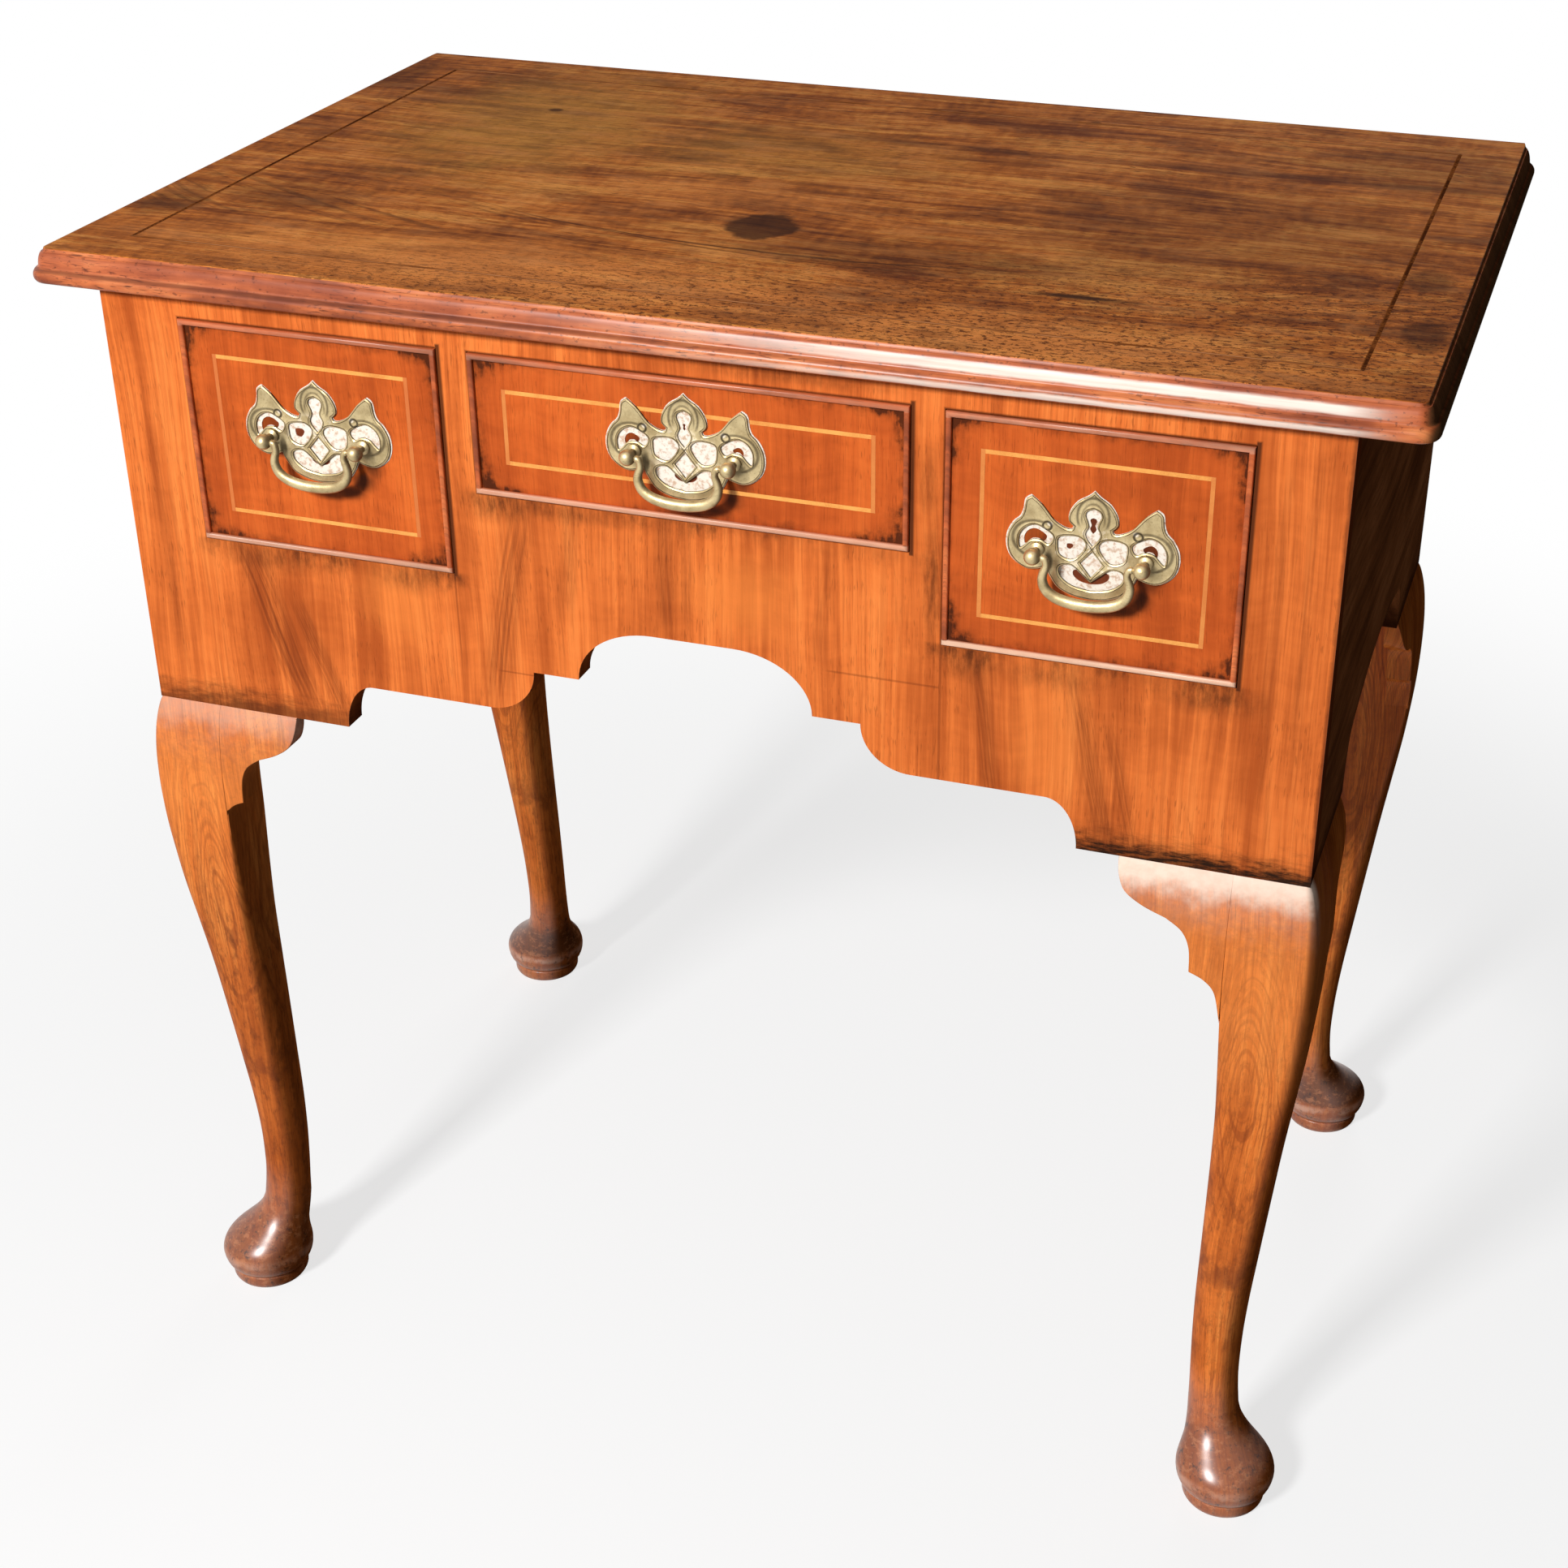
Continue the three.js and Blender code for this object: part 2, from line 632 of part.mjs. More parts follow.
function drawerSide(x0, z0, z1) {
  const frontRoot = drawerFrontThickness + glueGap;
  const backRoot = drawerBackEnd - drawerBackThickness - glueGap;
  const backLow = backBoardFoot(z0) - glueGap;
  const backTails = tails(backRoot, drawerBackEnd, backLow, z1, 0).flat();
  const frontTails = tails(frontRoot, dovetailLap, z0, z1, 0).flat().reverse();
  const outline = shapeOf([
    [frontRoot, z0],
    [drawerBackEnd, z0],
    [drawerBackEnd, backLow],
    [backRoot, backLow],
    ...backTails,
    [backRoot, z1],
    [frontRoot, z1],
    ...frontTails,
  ]);
  const board = prism(outline, 'x', x0, x0 + drawerSideThickness);
  const grooveFloor = x0 + drawerSideThickness - bottomGrooveDepth;
  const groove = slab(
    grooveFloor,
    x0 + drawerSideThickness + overrun,
    drawerFrontThickness - bottomGrooveDepth - glueGap,
    drawerBackEnd + overrun,
    z0 + bottomGrooveRaise,
    backBoardFoot(z0) - glueGap,
  );
  return cut(board, groove);
}

function makeDrawer(name, [x0, x1], [z0, z1], handleShift, rise) {
  const boxTop = z1 - cockbeadWidth;
  const innerLeft = x0 + drawerSideThickness;
  const innerRight = x1 - drawerSideThickness;
  const centre = (x0 + x1) / 2 + handleShift;
  const postLine = (z0 + z1) / 2 + rise;
  const acrossFront = (u, v, depth) => [u, depth, v];
  const bothEnds = (geometry) => [geometry, mapped(geometry, (x, y, z) => [x0 + x1 - x, y, z])];

  // Cockbead with a rounded nose, let into a rebate round the front.
  const nose = cockbeadWidth / 2;
  const bead = [[0, cockbeadDepth], [0, nose - cockbeadProud]];
  for (let i = 1; i < cornerSteps; i += 1) {
    const angle = Math.PI * (i / cornerSteps);
    bead.push([nose - nose * Math.cos(angle), nose - cockbeadProud - nose * Math.sin(angle)]);
  }
  bead.push([cockbeadWidth, nose - cockbeadProud], [cockbeadWidth, cockbeadDepth]);
  add(`${name}_cockbead`, mitredFrame(x0, x1, z0, z1, bead, acrossFront), finishes.drawerWalnut);

  // Front board with the rebate, the string's groove, dovetail sockets, the bottom's groove and bolt holes.
  const rebate = mitredFrame(x0, x1, z0, z1, [
    [-overrun, -overrun],
    [cockbeadWidth + glueGap, -overrun],
    [cockbeadWidth + glueGap, cockbeadDepth + glueGap],
    [-overrun, cockbeadDepth + glueGap],
  ], acrossFront);
  const inset = drawerStringInset;
  const stringBox = [x0 + inset, x1 - inset, z0 + inset, z1 - inset];
  const stringGroove = mitredFrame(
    ...stringBox,
    stringProfile(stringWidth, stringDepth + overrun, -overrun),
    acrossFront,
  );
  const frontTails = tails(drawerFrontThickness + glueGap, dovetailLap, z0, boxTop, seatGap);
  const sockets = frontTails.flatMap((points) => (
    bothEnds(prism(shapeOf(points), 'x', x0 - overrun, innerLeft + glueGap))
  ));
  const bottomFloor = z0 + bottomGrooveRaise;
  const bottomRoof = backBoardFoot(z0) - glueGap;
  const frontGroove = slab(
    innerLeft - bottomGrooveDepth,
    innerRight + bottomGrooveDepth,
    drawerFrontThickness - bottomGrooveDepth - glueGap,
    drawerFrontThickness + overrun,
    bottomFloor,
    bottomRoof,
  );
  const boltHoles = [-1, 1].map((side) => mapped(
    new THREE.CylinderGeometry(postShankRadius + seatGap, postShankRadius + seatGap, caseDepth, roundSteps),
    (x, y, z) => [centre + side * postSpacing / 2 + x, y, postLine + z],
  ));
  const frontBoard = slab(x0, x1, 0, drawerFrontThickness, z0, z1);
  const tools = [rebate, stringGroove, ...sockets, frontGroove, ...boltHoles];
  add(`${name}_front`, cut(frontBoard, ...tools), finishes.drawerWalnut);

  const inlay = stringProfile(stringWidth - 2 * glueGap, stringDepth - glueGap, 0);
  const [u0, u1, v0, v1] = stringBox;
  const stringing = mitredFrame(u0 + glueGap, u1 - glueGap, v0 + glueGap, v1 - glueGap, inlay, acrossFront);
  add(`${name}_stringing`, stringing, finishes.boxwood);

  // Box behind the front
  const [leftSide, rightSide] = bothEnds(drawerSide(x0, z0, boxTop));
  add(`${name}_side_left`, leftSide, finishes.oak);
  add(`${name}_side_right`, rightSide, finishes.oak);
  const backStart = drawerBackEnd - drawerBackThickness;
  const backLow = backBoardFoot(z0);
  const backSockets = tails(backStart - glueGap, drawerBackEnd, backLow - glueGap, boxTop, seatGap);
  const backTools = backSockets.flatMap((points) => (
    bothEnds(prism(shapeOf(points), 'x', x0 - overrun, innerLeft + glueGap))
  ));
  const backBoard = slab(x0, x1, backStart, drawerBackEnd, backLow, boxTop);
  add(`${name}_back`, cut(backBoard, ...backTools), finishes.oak);
  const bottom = slab(
    innerLeft - bottomGrooveDepth + glueGap,
    innerRight + bottomGrooveDepth - glueGap,
    drawerFrontThickness - bottomGrooveDepth,
    drawerBackEnd,
    bottomFloor + glueGap,
    bottomFloor + drawerBottomThickness,
  );
  add(`${name}_bottom`, bottom, finishes.oak);
  makeHandle(name, centre, postLine);
}

// Handles

// Outline of the pierced back plate, right half from the finial down, as shares of the plate's half width
// measured from the line of the posts: the dome, the horn, the side lobe and the bottom lobe.
const plateDomeShares = [
  [0, 0.775], [0.07, 0.71], [0.19, 0.63], [0.27, 0.51], [0.285, 0.4], [0.225, 0.335],
];
const plateHornShares = [
  [0.225, 0.335], [0.25, 0.29], [0.34, 0.305], [0.46, 0.38], [0.6, 0.545], [0.72, 0.64],
];
const plateLobeShares = [
  [0.72, 0.64], [0.79, 0.585], [0.81, 0.46], [0.845, 0.37], [0.92, 0.295], [0.985, 0.17], [1, 0.03],
  [0.965, -0.1], [0.88, -0.2], [0.76, -0.26], [0.64, -0.25], [0.53, -0.21],
];
const plateFootShares = [[0.53, -0.21], [0.485, -0.31], [0.38, -0.45], [0.2, -0.53], [0, -0.555]];

// Piercings: the key shape, the diamond and the crescent lie on the centre line, the others come in pairs.
const keyShares = [
  [0, 0.56], [0.068, 0.53], [0.088, 0.475], [0.062, 0.41], [0.05, 0.345], [0.082, 0.27], [0.06, 0.2],
  [0, 0.125],
];
const diamondShares = [[0, 0.045], [0.13, -0.11], [0, -0.27]];
const crescentShares = [
  [0, -0.335], [0.1, -0.255], [0.21, -0.165], [0.31, -0.165], [0.36, -0.215], [0.33, -0.31], [0.2, -0.4],
  [0, -0.435],
];
const windowShares = [
  [0.09, 0.105], [0.175, 0.2], [0.37, 0.18], [0.395, 0.08], [0.36, -0.035], [0.215, -0.065],
];
const lobeHoleShares = [
  [0.47, 0.17], [0.56, 0.245], [0.68, 0.285], [0.79, 0.235], [0.85, 0.13], [0.84, 0], [0.79, 0.03],
  [0.72, 0.1], [0.61, 0.115], [0.52, 0.075],
];

const plateUnit = plateWidth / 2;
const platePoint = ([u, v]) => new THREE.Vector2(u * plateUnit, v * plateUnit);

function plateCurve(shares) {
  return new THREE.SplineCurve(shares.map(platePoint)).getPoints(plateSteps * (shares.length - 1));
}

// Closes a right half, drawn from the top down, with its mirror image, and runs the whole anticlockwise.
function closedByMirror(half) {
  const offCentre = half.filter((point) => point.x > weldDistance);
  const others = offCentre.map((point) => new THREE.Vector2(-point.x, point.y));
  return [...others, ...half.slice().reverse()];
}

function plateShape() {
  const edges = [plateDomeShares, plateHornShares, plateLobeShares, plateFootShares].map(plateCurve);
  const half = edges.flatMap((points, k) => (k === 0 ? points : points.slice(1)));
  const shape = new THREE.Shape(closedByMirror(half));
  [keyShares, crescentShares].forEach((shares) => {
    shape.holes.push(new THREE.Path(closedByMirror(plateCurve(shares))));
  });
  shape.holes.push(new THREE.Path(closedByMirror(diamondShares.map(platePoint))));
  [windowShares, lobeHoleShares].forEach((shares) => {
    const points = shares.map(platePoint);
    shape.holes.push(new THREE.Path(points));
    shape.holes.push(new THREE.Path(points.map((point) => new THREE.Vector2(-point.x, point.y))));
  });
  [-1, 1].forEach((side) => {
    const radius = postShankRadius + seatGap;
    shape.holes.push(new THREE.Path(Array.from({ length: roundSteps }, (unused, k) => {
      const angle = (2 * Math.PI * k) / roundSteps;
      return new THREE.Vector2(side * postSpacing / 2 + radius * Math.cos(angle), radius * Math.sin(angle));
    })));
  });
  return shape;
}

// A ball-headed post with its neck, collar, shank and nut, turned about its own axis.
function postGeometry() {
  const neckAngle = Math.asin(postNeckRadius / ballRadius);
  const profile = [];
  for (let i = 0; i <= ballSteps; i += 1) {
    const angle = (Math.PI - neckAngle) * (i / ballSteps);
    profile.push([ballRadius * Math.sin(angle), -postReach - ballRadius * Math.cos(angle)]);
  }
  profile[0][0] = 0;
  const collarBack = -plateThickness - 2 * glueGap;
  const collarFront = collarBack - postCollarThickness;
  const nutStart = drawerFrontThickness + glueGap;
  profile.push(
    [postNeckRadius, collarFront - postCollarThickness / 2],
    [postCollarRadius, collarFront],
    [postCollarRadius, collarBack],
    [postShankRadius, collarBack],
    [postShankRadius, nutStart],
    [postNutRadius, nutStart],
    [postNutRadius, nutStart + postNutThickness],
    [0, nutStart + postNutThickness],
  );
  const turned = new THREE.LatheGeometry(profile.map(([r, y]) => new THREE.Vector2(r, y)), roundSteps);
  const boreRadius = bailPinRadius + seatGap;
  const bore = mapped(
    new THREE.CylinderGeometry(boreRadius, boreRadius, ballRadius + bailPinReach + seatGap, roundSteps),
    (x, y, z) => [y - (ballRadius - bailPinReach - seatGap) / 2, x - postReach, z],
  );
  return cut(mapped(turned, (x, y, z) => [x, y, z]), bore);
}

// The bail's half centre line from inside a ball to the middle of the grip, as shares of half the post
// spacing across and of the bail's drop down, and the wire's radius as a share of its thickest.
const bailShares = [
  [0.84, 0], [0.775, 0.02], [0.745, 0.1], [0.745, 0.21], [0.785, 0.35], [0.8, 0.52], [0.73, 0.73],
  [0.55, 0.89], [0.29, 0.975], [0, 1],
];
const bailThinShare = 0.72;
const bailThickStart = 0.45;

function bailGeometry() {
  const halfSpan = postSpacing / 2;
  const pinEnd = new THREE.Vector3(halfSpan + bailPinReach, 0, 0);
  const points = bailShares.map(([u, v]) => new THREE.Vector3(u * halfSpan, 0, -v * bailDrop));
  const left = points.slice(0, -1).map((point) => new THREE.Vector3(-point.x, 0, point.z)).reverse();
  const curve = new THREE.CatmullRomCurve3([...points, ...left], false, 'centripetal');
  const ring = (point, tangent, radius) => Array.from({ length: bailSides }, (unused, k) => {
    const angle = (2 * Math.PI * k) / bailSides;
    const across = radius * Math.cos(angle);
    const forward = radius * Math.sin(angle) - postReach;
    return [point.x - tangent.z * across, forward, point.z + tangent.x * across];
  });
  const inward = new THREE.Vector3(-1, 0, 0);
  const rings = [ring(pinEnd, inward, bailPinRadius)];
  for (let i = 0; i <= bailSteps; i += 1) {
    const share = i / bailSteps;
    const grip = Math.sin(Math.PI * share);
    const swell = Math.max(0, (grip - bailThickStart) / (1 - bailThickStart));
    const thick = bailThinShare + (1 - bailThinShare) * swell;
    const isPin = i === 0 || i === bailSteps;
    const radius = isPin ? bailPinRadius : thick * bailThickRadius;
    const tangent = isPin ? inward : curve.getTangentAt(share);
    rings.push(ring(curve.getPointAt(share), tangent, radius));
  }
  rings.push(ring(new THREE.Vector3(-pinEnd.x, 0, 0), inward, bailPinRadius));
  return loft(rings);
}

const plate = prism(plateShape(), 'y', -plateThickness - glueGap, -glueGap, arcSteps / 2);
const post = postGeometry();
const bail = bailGeometry();

function makeHandle(name, centre, postLine) {
  const moved = (geometry, x) => mapped(geometry, (u, v, w) => [x + u, v, postLine + w]);
  add(`${name}_backplate`, moved(plate, centre), finishes.brass);
  add(`${name}_post_right`, moved(post, centre + postSpacing / 2), finishes.brass);
  add(`${name}_post_left`, moved(mirrored(post), centre - postSpacing / 2), finishes.brass);
  add(`${name}_bail`, moved(bail, centre), finishes.brass);
}

makeTop();
makeCase();
makeRunners();
makeLegs();
const sideHeights = [sideDrawerFloor, drawerTop];
const middleHeights = [middleDrawerFloor, drawerTop];
const leftSpan = [-sideDrawerOuter, -sideDrawerInner];
makeDrawer('drawer_left', leftSpan, sideHeights, leftHandleShift, leftHandleRise);
makeDrawer('drawer_middle', [-middleDrawerHalf, middleDrawerHalf], middleHeights, 0, handleRise);
makeDrawer('drawer_right', [sideDrawerInner, sideDrawerOuter], sideHeights, 0, handleRise);

export default lowboy;
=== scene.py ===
"""Looks of the walnut lowboy: its finer pieces, its finishes, and the studio that it is seen in."""

import logging
import math
from dataclasses import dataclass, field
from enum import Enum
from typing import Any, Callable, Iterable, Optional, Sequence

import bmesh
import bpy
from bmesh.types import BMEdge, BMesh, BMFace, BMVert
from bpy.types import Material, NodeSocket, Object
from mathutils import Matrix, Vector


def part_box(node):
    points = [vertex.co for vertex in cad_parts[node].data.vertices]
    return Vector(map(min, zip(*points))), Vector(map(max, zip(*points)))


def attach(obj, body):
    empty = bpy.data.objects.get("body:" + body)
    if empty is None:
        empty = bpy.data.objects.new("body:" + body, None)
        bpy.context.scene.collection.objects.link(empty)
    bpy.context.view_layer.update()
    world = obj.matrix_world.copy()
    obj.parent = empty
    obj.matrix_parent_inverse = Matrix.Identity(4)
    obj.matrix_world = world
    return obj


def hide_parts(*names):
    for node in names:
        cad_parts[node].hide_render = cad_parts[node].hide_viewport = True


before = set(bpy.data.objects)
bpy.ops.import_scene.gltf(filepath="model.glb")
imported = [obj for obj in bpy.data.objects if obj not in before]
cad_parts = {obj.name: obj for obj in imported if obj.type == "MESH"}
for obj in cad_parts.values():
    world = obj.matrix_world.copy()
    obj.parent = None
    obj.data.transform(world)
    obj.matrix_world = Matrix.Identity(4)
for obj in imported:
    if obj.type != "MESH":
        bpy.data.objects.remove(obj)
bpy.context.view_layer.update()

# Places on the table in its own frame, in millimetres. MM turns them into metres.
MM = 0.001
CASE_FRONT = -231.75
CASE_DEPTH = 444.0
CASE_BOTTOM = 457.0
HALF_CASE = 350.0
TOP_BOTTOM = 715.0
TOP_SURFACE = 734.0

SHADE = "away_from_window"
"""The mesh attribute that says how far each corner looks to the right, away from the window."""

SMOOTH_ANGLE = 38.0
"""How sharp an edge may be and still be shaded smooth, in degrees."""

WHITE = (1.0, 1.0, 1.0)

log = logging.getLogger("lowboy")

Seen = tuple[int, int, int]
"""A colour as it is seen on a screen, from 0 to 255."""

Colour = tuple[float, float, float]
"""A colour's linear values."""

Place = tuple[float, float, float]
Share = tuple[float, float]


def linear(seen: Seen, depth: float = 1.0) -> Colour:
    """Turns a colour as it is seen on a screen into the linear values that a shader takes.

    Args:
        seen: The colour on the screen.
        depth: What its linear values are multiplied with, below 1 for a deeper colour.

    Returns:
        The three linear values.
    """
    def channel(level: int) -> float:
        """One channel's linear value."""
        share = level / 255
        return share / 12.92 if share <= 0.04045 else ((share + 0.055) / 1.055) ** 2.4

    return tuple(channel(level) * depth for level in seen)


def opaque(colour: Colour) -> tuple[float, float, float, float]:
    """The colour with a full alpha, as a socket wants it."""
    return (*colour, 1.0)


def between(low: float, high: float) -> float:
    """The middle of two numbers."""
    return (low + high) / 2


class Value:
    """A socket that takes part in Python arithmetic, and adds Math nodes as it does."""

    def __init__(self, shader: "Shader", socket: NodeSocket) -> None:
        """Wraps one output socket of a shader."""
        self.shader = shader
        self.socket = socket

    def math(self, operation: str, *operands: Any) -> "Value":
        """Adds a Math node whose inputs are the given values in order."""
        inputs = dict(enumerate(operands))
        return self.shader.node("ShaderNodeMath", {"operation": operation}, inputs)

    def __add__(self, other: Any) -> "Value":
        """Sum."""
        return self.math("ADD", self, other)

    __radd__ = __add__

    def __sub__(self, other: Any) -> "Value":
        """Difference."""
        return self.math("SUBTRACT", self, other)

    def __rsub__(self, other: Any) -> "Value":
        """Difference the other way round."""
        return self.math("SUBTRACT", other, self)

    def __mul__(self, other: Any) -> "Value":
        """Product."""
        return self.math("MULTIPLY", self, other)

    __rmul__ = __mul__

    def __truediv__(self, number: float) -> "Value":
        """Quotient by a number."""
        return self * (1 / number)

    def __abs__(self) -> "Value":
        """Distance from zero."""
        return self.math("ABSOLUTE", self)

    def __pow__(self, power: float) -> "Value":
        """Power."""
        return self.math("POWER", self, power)

    def lowest(self, other: Any) -> "Value":
        """The smaller of two values."""
        return self.math("MINIMUM", self, other)

    def highest(self, other: Any) -> "Value":
        """The larger of two values."""
        return self.math("MAXIMUM", self, other)

    def rise(self, start: float, end: float) -> "Value":
        """A smooth step from 0 at start to 1 at end."""
        settings = {"interpolation_type": "SMOOTHSTEP"}
        inputs = {"Value": self, "From Min": start, "From Max": end, "To Min": 0.0, "To Max": 1.0}
        return self.shader.node("ShaderNodeMapRange", settings, inputs)

    def fall(self, start: float, end: float) -> "Value":
        """A smooth step from 1 at start to 0 at end."""
        return 1 - self.rise(start, end)

    def band(self, start: float, full: float, fading: float, end: float) -> "Value":
        """A smooth band that rises from start to full, and falls from fading to end."""
        return self.rise(start, full) * self.fall(fading, end)

    def line(self, middle: float, full: float, end: float) -> "Value":
        """A smooth line that is 1 up to one distance from its middle, and 0 from another on."""
        return abs(self - middle).fall(full, end)

    def past(self, limit: float) -> "Value":
        """1 above a limit and 0 below it."""
        return self.math("GREATER_THAN", self, limit)


def strongest(masks: Iterable[Value]) -> Any:
    """The strongest of several masks at each place."""
    total: Any = 0.0
    for mask in masks:
        total = mask.highest(total)
    return total


class Spot:
    """A place on a piece in millimetres of the table's frame, as three values."""

    def __init__(self, shader: "Shader", x: Value, y: Value, z: Value) -> None:
        """Keeps the shader and the three values."""
        self.shader = shader
        self.x = x
        self.y = y
        self.z = z

    def noise(self, x: float, y: float, z: float, detail: float = 2.0, roughness: float = 0.5) -> Value:
        """Smooth noise from 0 to 1.

        Args:
            x: How many patches it has to a millimetre from left to right.
            y: The same from front to back.
            z: The same upwards.
            detail: How many finer layers it has.
            roughness: How strong the finer layers are.

        Returns:
            The noise.
        """
        return self.shader.noise(self.x * x, self.y * y, self.z * z, detail, roughness)

    def shade(self) -> Value:
        """How far the surface faces away from the window side, from 0 to 1, as make_piece wrote it down."""
        return self.shader.node("ShaderNodeAttribute", {"attribute_name": SHADE}, output="Fac")


class Paint:
    """A material's colour while layers are laid over it."""

    def __init__(self, colour: Value) -> None:
        """Starts with the lowest colour."""
        self.colour = colour

    def lay(self, share: Any, seen: Seen, depth: float = 1.0) -> None:
        """Lays a colour over what is there.

        Args:
            share: How much of it covers, from 0 to 1.
            seen: The colour on a screen.
            depth: What its linear values are multiplied with.
        """
        self.colour = self.colour.shader.mix(share, self.colour, linear(seen, depth))


Layer = Callable[[Spot, Paint], None]
"""Something that lies over a material's colour, such as dirt or a stain."""


class Shader:
    """A node tree, with one method that makes nodes and a few that name common ones."""

    def __init__(self, owner: Any) -> None:
        """Empties the node tree of a material or a world."""
        self.owner = owner
        owner.use_nodes = True
        self.tree = owner.node_tree
        self.tree.nodes.clear()

    @staticmethod
    def of_material(name: str) -> "Shader":
        """The empty node tree of a new material."""
        return Shader(bpy.data.materials.new(name))

    def node(
        self,
        kind: str,
        settings: Optional[dict[str, Any]] = None,
        inputs: Optional[dict[Any, Any]] = None,
        output: Any = 0,
    ) -> Value:
        """Adds a node of any type.

        Args:
            kind: The node's type.
            settings: Its settings, set before its sockets. The key stops holds a ramp's stops.
            inputs: Values or links by socket name or number.
            output: Which output comes back.

        Returns:
            The chosen output.
        """
        made = self.tree.nodes.new(kind)
        for key, value in (settings or {}).items():
            if key == "stops":
                self.set_stops(made.color_ramp, value)
            else:
                setattr(made, key, value)
        for key, value in (inputs or {}).items():
            if isinstance(value, Value):
                self.tree.links.new(value.socket, made.inputs[key])
            else:
                made.inputs[key].default_value = value
        return Value(self, made.outputs[output])

    @staticmethod
    def set_stops(ramp: Any, stops: Sequence[tuple[float, Colour]]) -> None:
        """Gives a colour ramp its stops, in order of place."""
        while len(ramp.elements) > len(stops):
            ramp.elements.remove(ramp.elements[-1])
        while len(ramp.elements) < len(stops):
            ramp.elements.new(1.0)
        for element, (place, colour) in zip(ramp.elements, stops):
            element.position = place
            element.color = opaque(colour)

    def spot(self) -> Spot:
        """The shaded point, from the piece's own coordinates."""
        place = self.node("ShaderNodeTexCoord", output="Object")
        large = self.node("ShaderNodeVectorMath", {"operation": "SCALE"}, {0: place, "Scale": 1 / MM})
        axes = (self.node("ShaderNodeSeparateXYZ", inputs={0: large}, output=k) for k in range(3))
        return Spot(self, *axes)

    def ray(self, kind: str) -> Value:
        """1 for rays of one kind, such as Camera, and 0 for all others."""
        return self.node("ShaderNodeLightPath", output=f"Is {kind} Ray")

    def seen_directly(self) -> Value:
        """1 for rays from the camera, off glossy surfaces and through glass, and 0 for all others."""
        return self.ray("Camera").highest(self.ray("Glossy")).highest(self.ray("Transmission"))

    def noise(self, x: Any, y: Any, z: Any, detail: float = 2.0, roughness: float = 0.5) -> Value:
        """Smooth noise from 0 to 1, about one patch to each unit of its coordinates."""
        place = self.node("ShaderNodeCombineXYZ", inputs={0: x, 1: y, 2: z})
        inputs = {"Vector": place, "Scale": 1.0, "Detail": detail, "Roughness": roughness}
        return self.node("ShaderNodeTexNoise", inputs=inputs)

    def ramp(self, factor: Any, stops: Sequence[tuple[float, Colour]]) -> Value:
        """A colour picked from stops by a factor."""
        return self.node("ShaderNodeValToRGB", {"stops": stops}, {0: factor})

    def mix(self, factor: Any, below: Any, above: Any) -> Value:
        """Lays one colour over another."""
        def paint(colour: Any) -> Any:
            """A colour as its socket wants it."""
            return colour if isinstance(colour, Value) else opaque(colour)

        settings = {"data_type": "RGBA", "blend_type": "MIX", "clamp_factor": True}
        return self.node("ShaderNodeMix", settings, {0: factor, 6: paint(below), 7: paint(above)}, 2)

    def blend(self, factor: Value, low: Seen, high: Seen) -> Value:
        """A colour between two that are seen at 0 and at 1."""
        return self.mix(factor, linear(low), linear(high))

    def bump(self, height: Value, depth: float, strength: float) -> Value:
        """A bump of a height from 0 to 1 that stands for a depth in metres."""
        return self.node("ShaderNodeBump", inputs={"Strength": strength, "Distance": depth, "Height": height})

    def finish(self, **sockets: Any) -> Material:
        """Adds the surface shader with its sockets by name, spaces written as underscores."""
        inputs = {name.replace("_", " "): value for name, value in sockets.items()}
        return self.close(self.node("ShaderNodeBsdfPrincipled", inputs=inputs))

    def close(self, surface: Value, end: str = "ShaderNodeOutputMaterial") -> Any:
        """Leads the surface to the tree's output, and gives back the material or the world."""
        output = self.tree.nodes.new(end)
        self.tree.links.new(surface.socket, output.inputs["Surface"])
        return self.owner


class Grain(Enum):
    """The way a board's grain runs."""

    ACROSS = "x"
    DEEP = "y"
    UPRIGHT = "z"

    def turned(self, spot: Spot) -> tuple[Value, Value, Value]:
        """The spot as along the grain, across it and into the board."""
        if self is Grain.ACROSS:
            return spot.x, spot.y, spot.z
        if self is Grain.DEEP:
            return spot.y, spot.x, spot.z
        return spot.z, spot.x, spot.y


@dataclass(frozen=True)
class Flame:
    """A dark streak of the figure that runs up a veneered board."""

    x: float
    z: float
    width: float
    height: float
    lean: float
    depth: float

    def mask(self, spot: Spot, waver: Value) -> Value:
        """Where the streak lies, from 0 to 1.

        Args:
            spot: The shaded point.
            waver: A sideways wander in millimetres.

        Returns:
            The streak's share.
        """
        rise = spot.z - self.z
        aside = spot.x - self.x - rise * self.lean + waver
        comb = spot.shader.noise(aside * 0.5, self.x, spot.z * 0.008, 3.0, 0.65).rise(0.3, 0.66)
        edge = abs(aside).fall(self.width * 0.2, self.width)
        return edge * abs(rise).fall(self.height * 0.4, self.height) * (comb * 0.8 + 0.2) * self.depth


@dataclass(frozen=True)
class Stain:
    """A soft-edged oval mark on a flat face, in the face's own two directions."""

    u: float
    v: float
    half_u: float
    half_v: float
    depth: float
    edge: float = 0.5

    def mask(self, u: Value, v: Value, waver: Value) -> Value:
        """Where the mark lies, from 0 to its depth.

        Args:
            u: The first direction, in millimetres.
            v: The second direction, in millimetres.
            waver: Raggedness of the edge, as a share of the mark's size.

        Returns:
            The mark's share.
        """
        aside = (u - self.u) / self.half_u
        along = (v - self.v) / self.half_v
        reach = (aside * aside + along * along) ** 0.5 + waver
        return reach.fall(1 - self.edge, 1) * self.depth


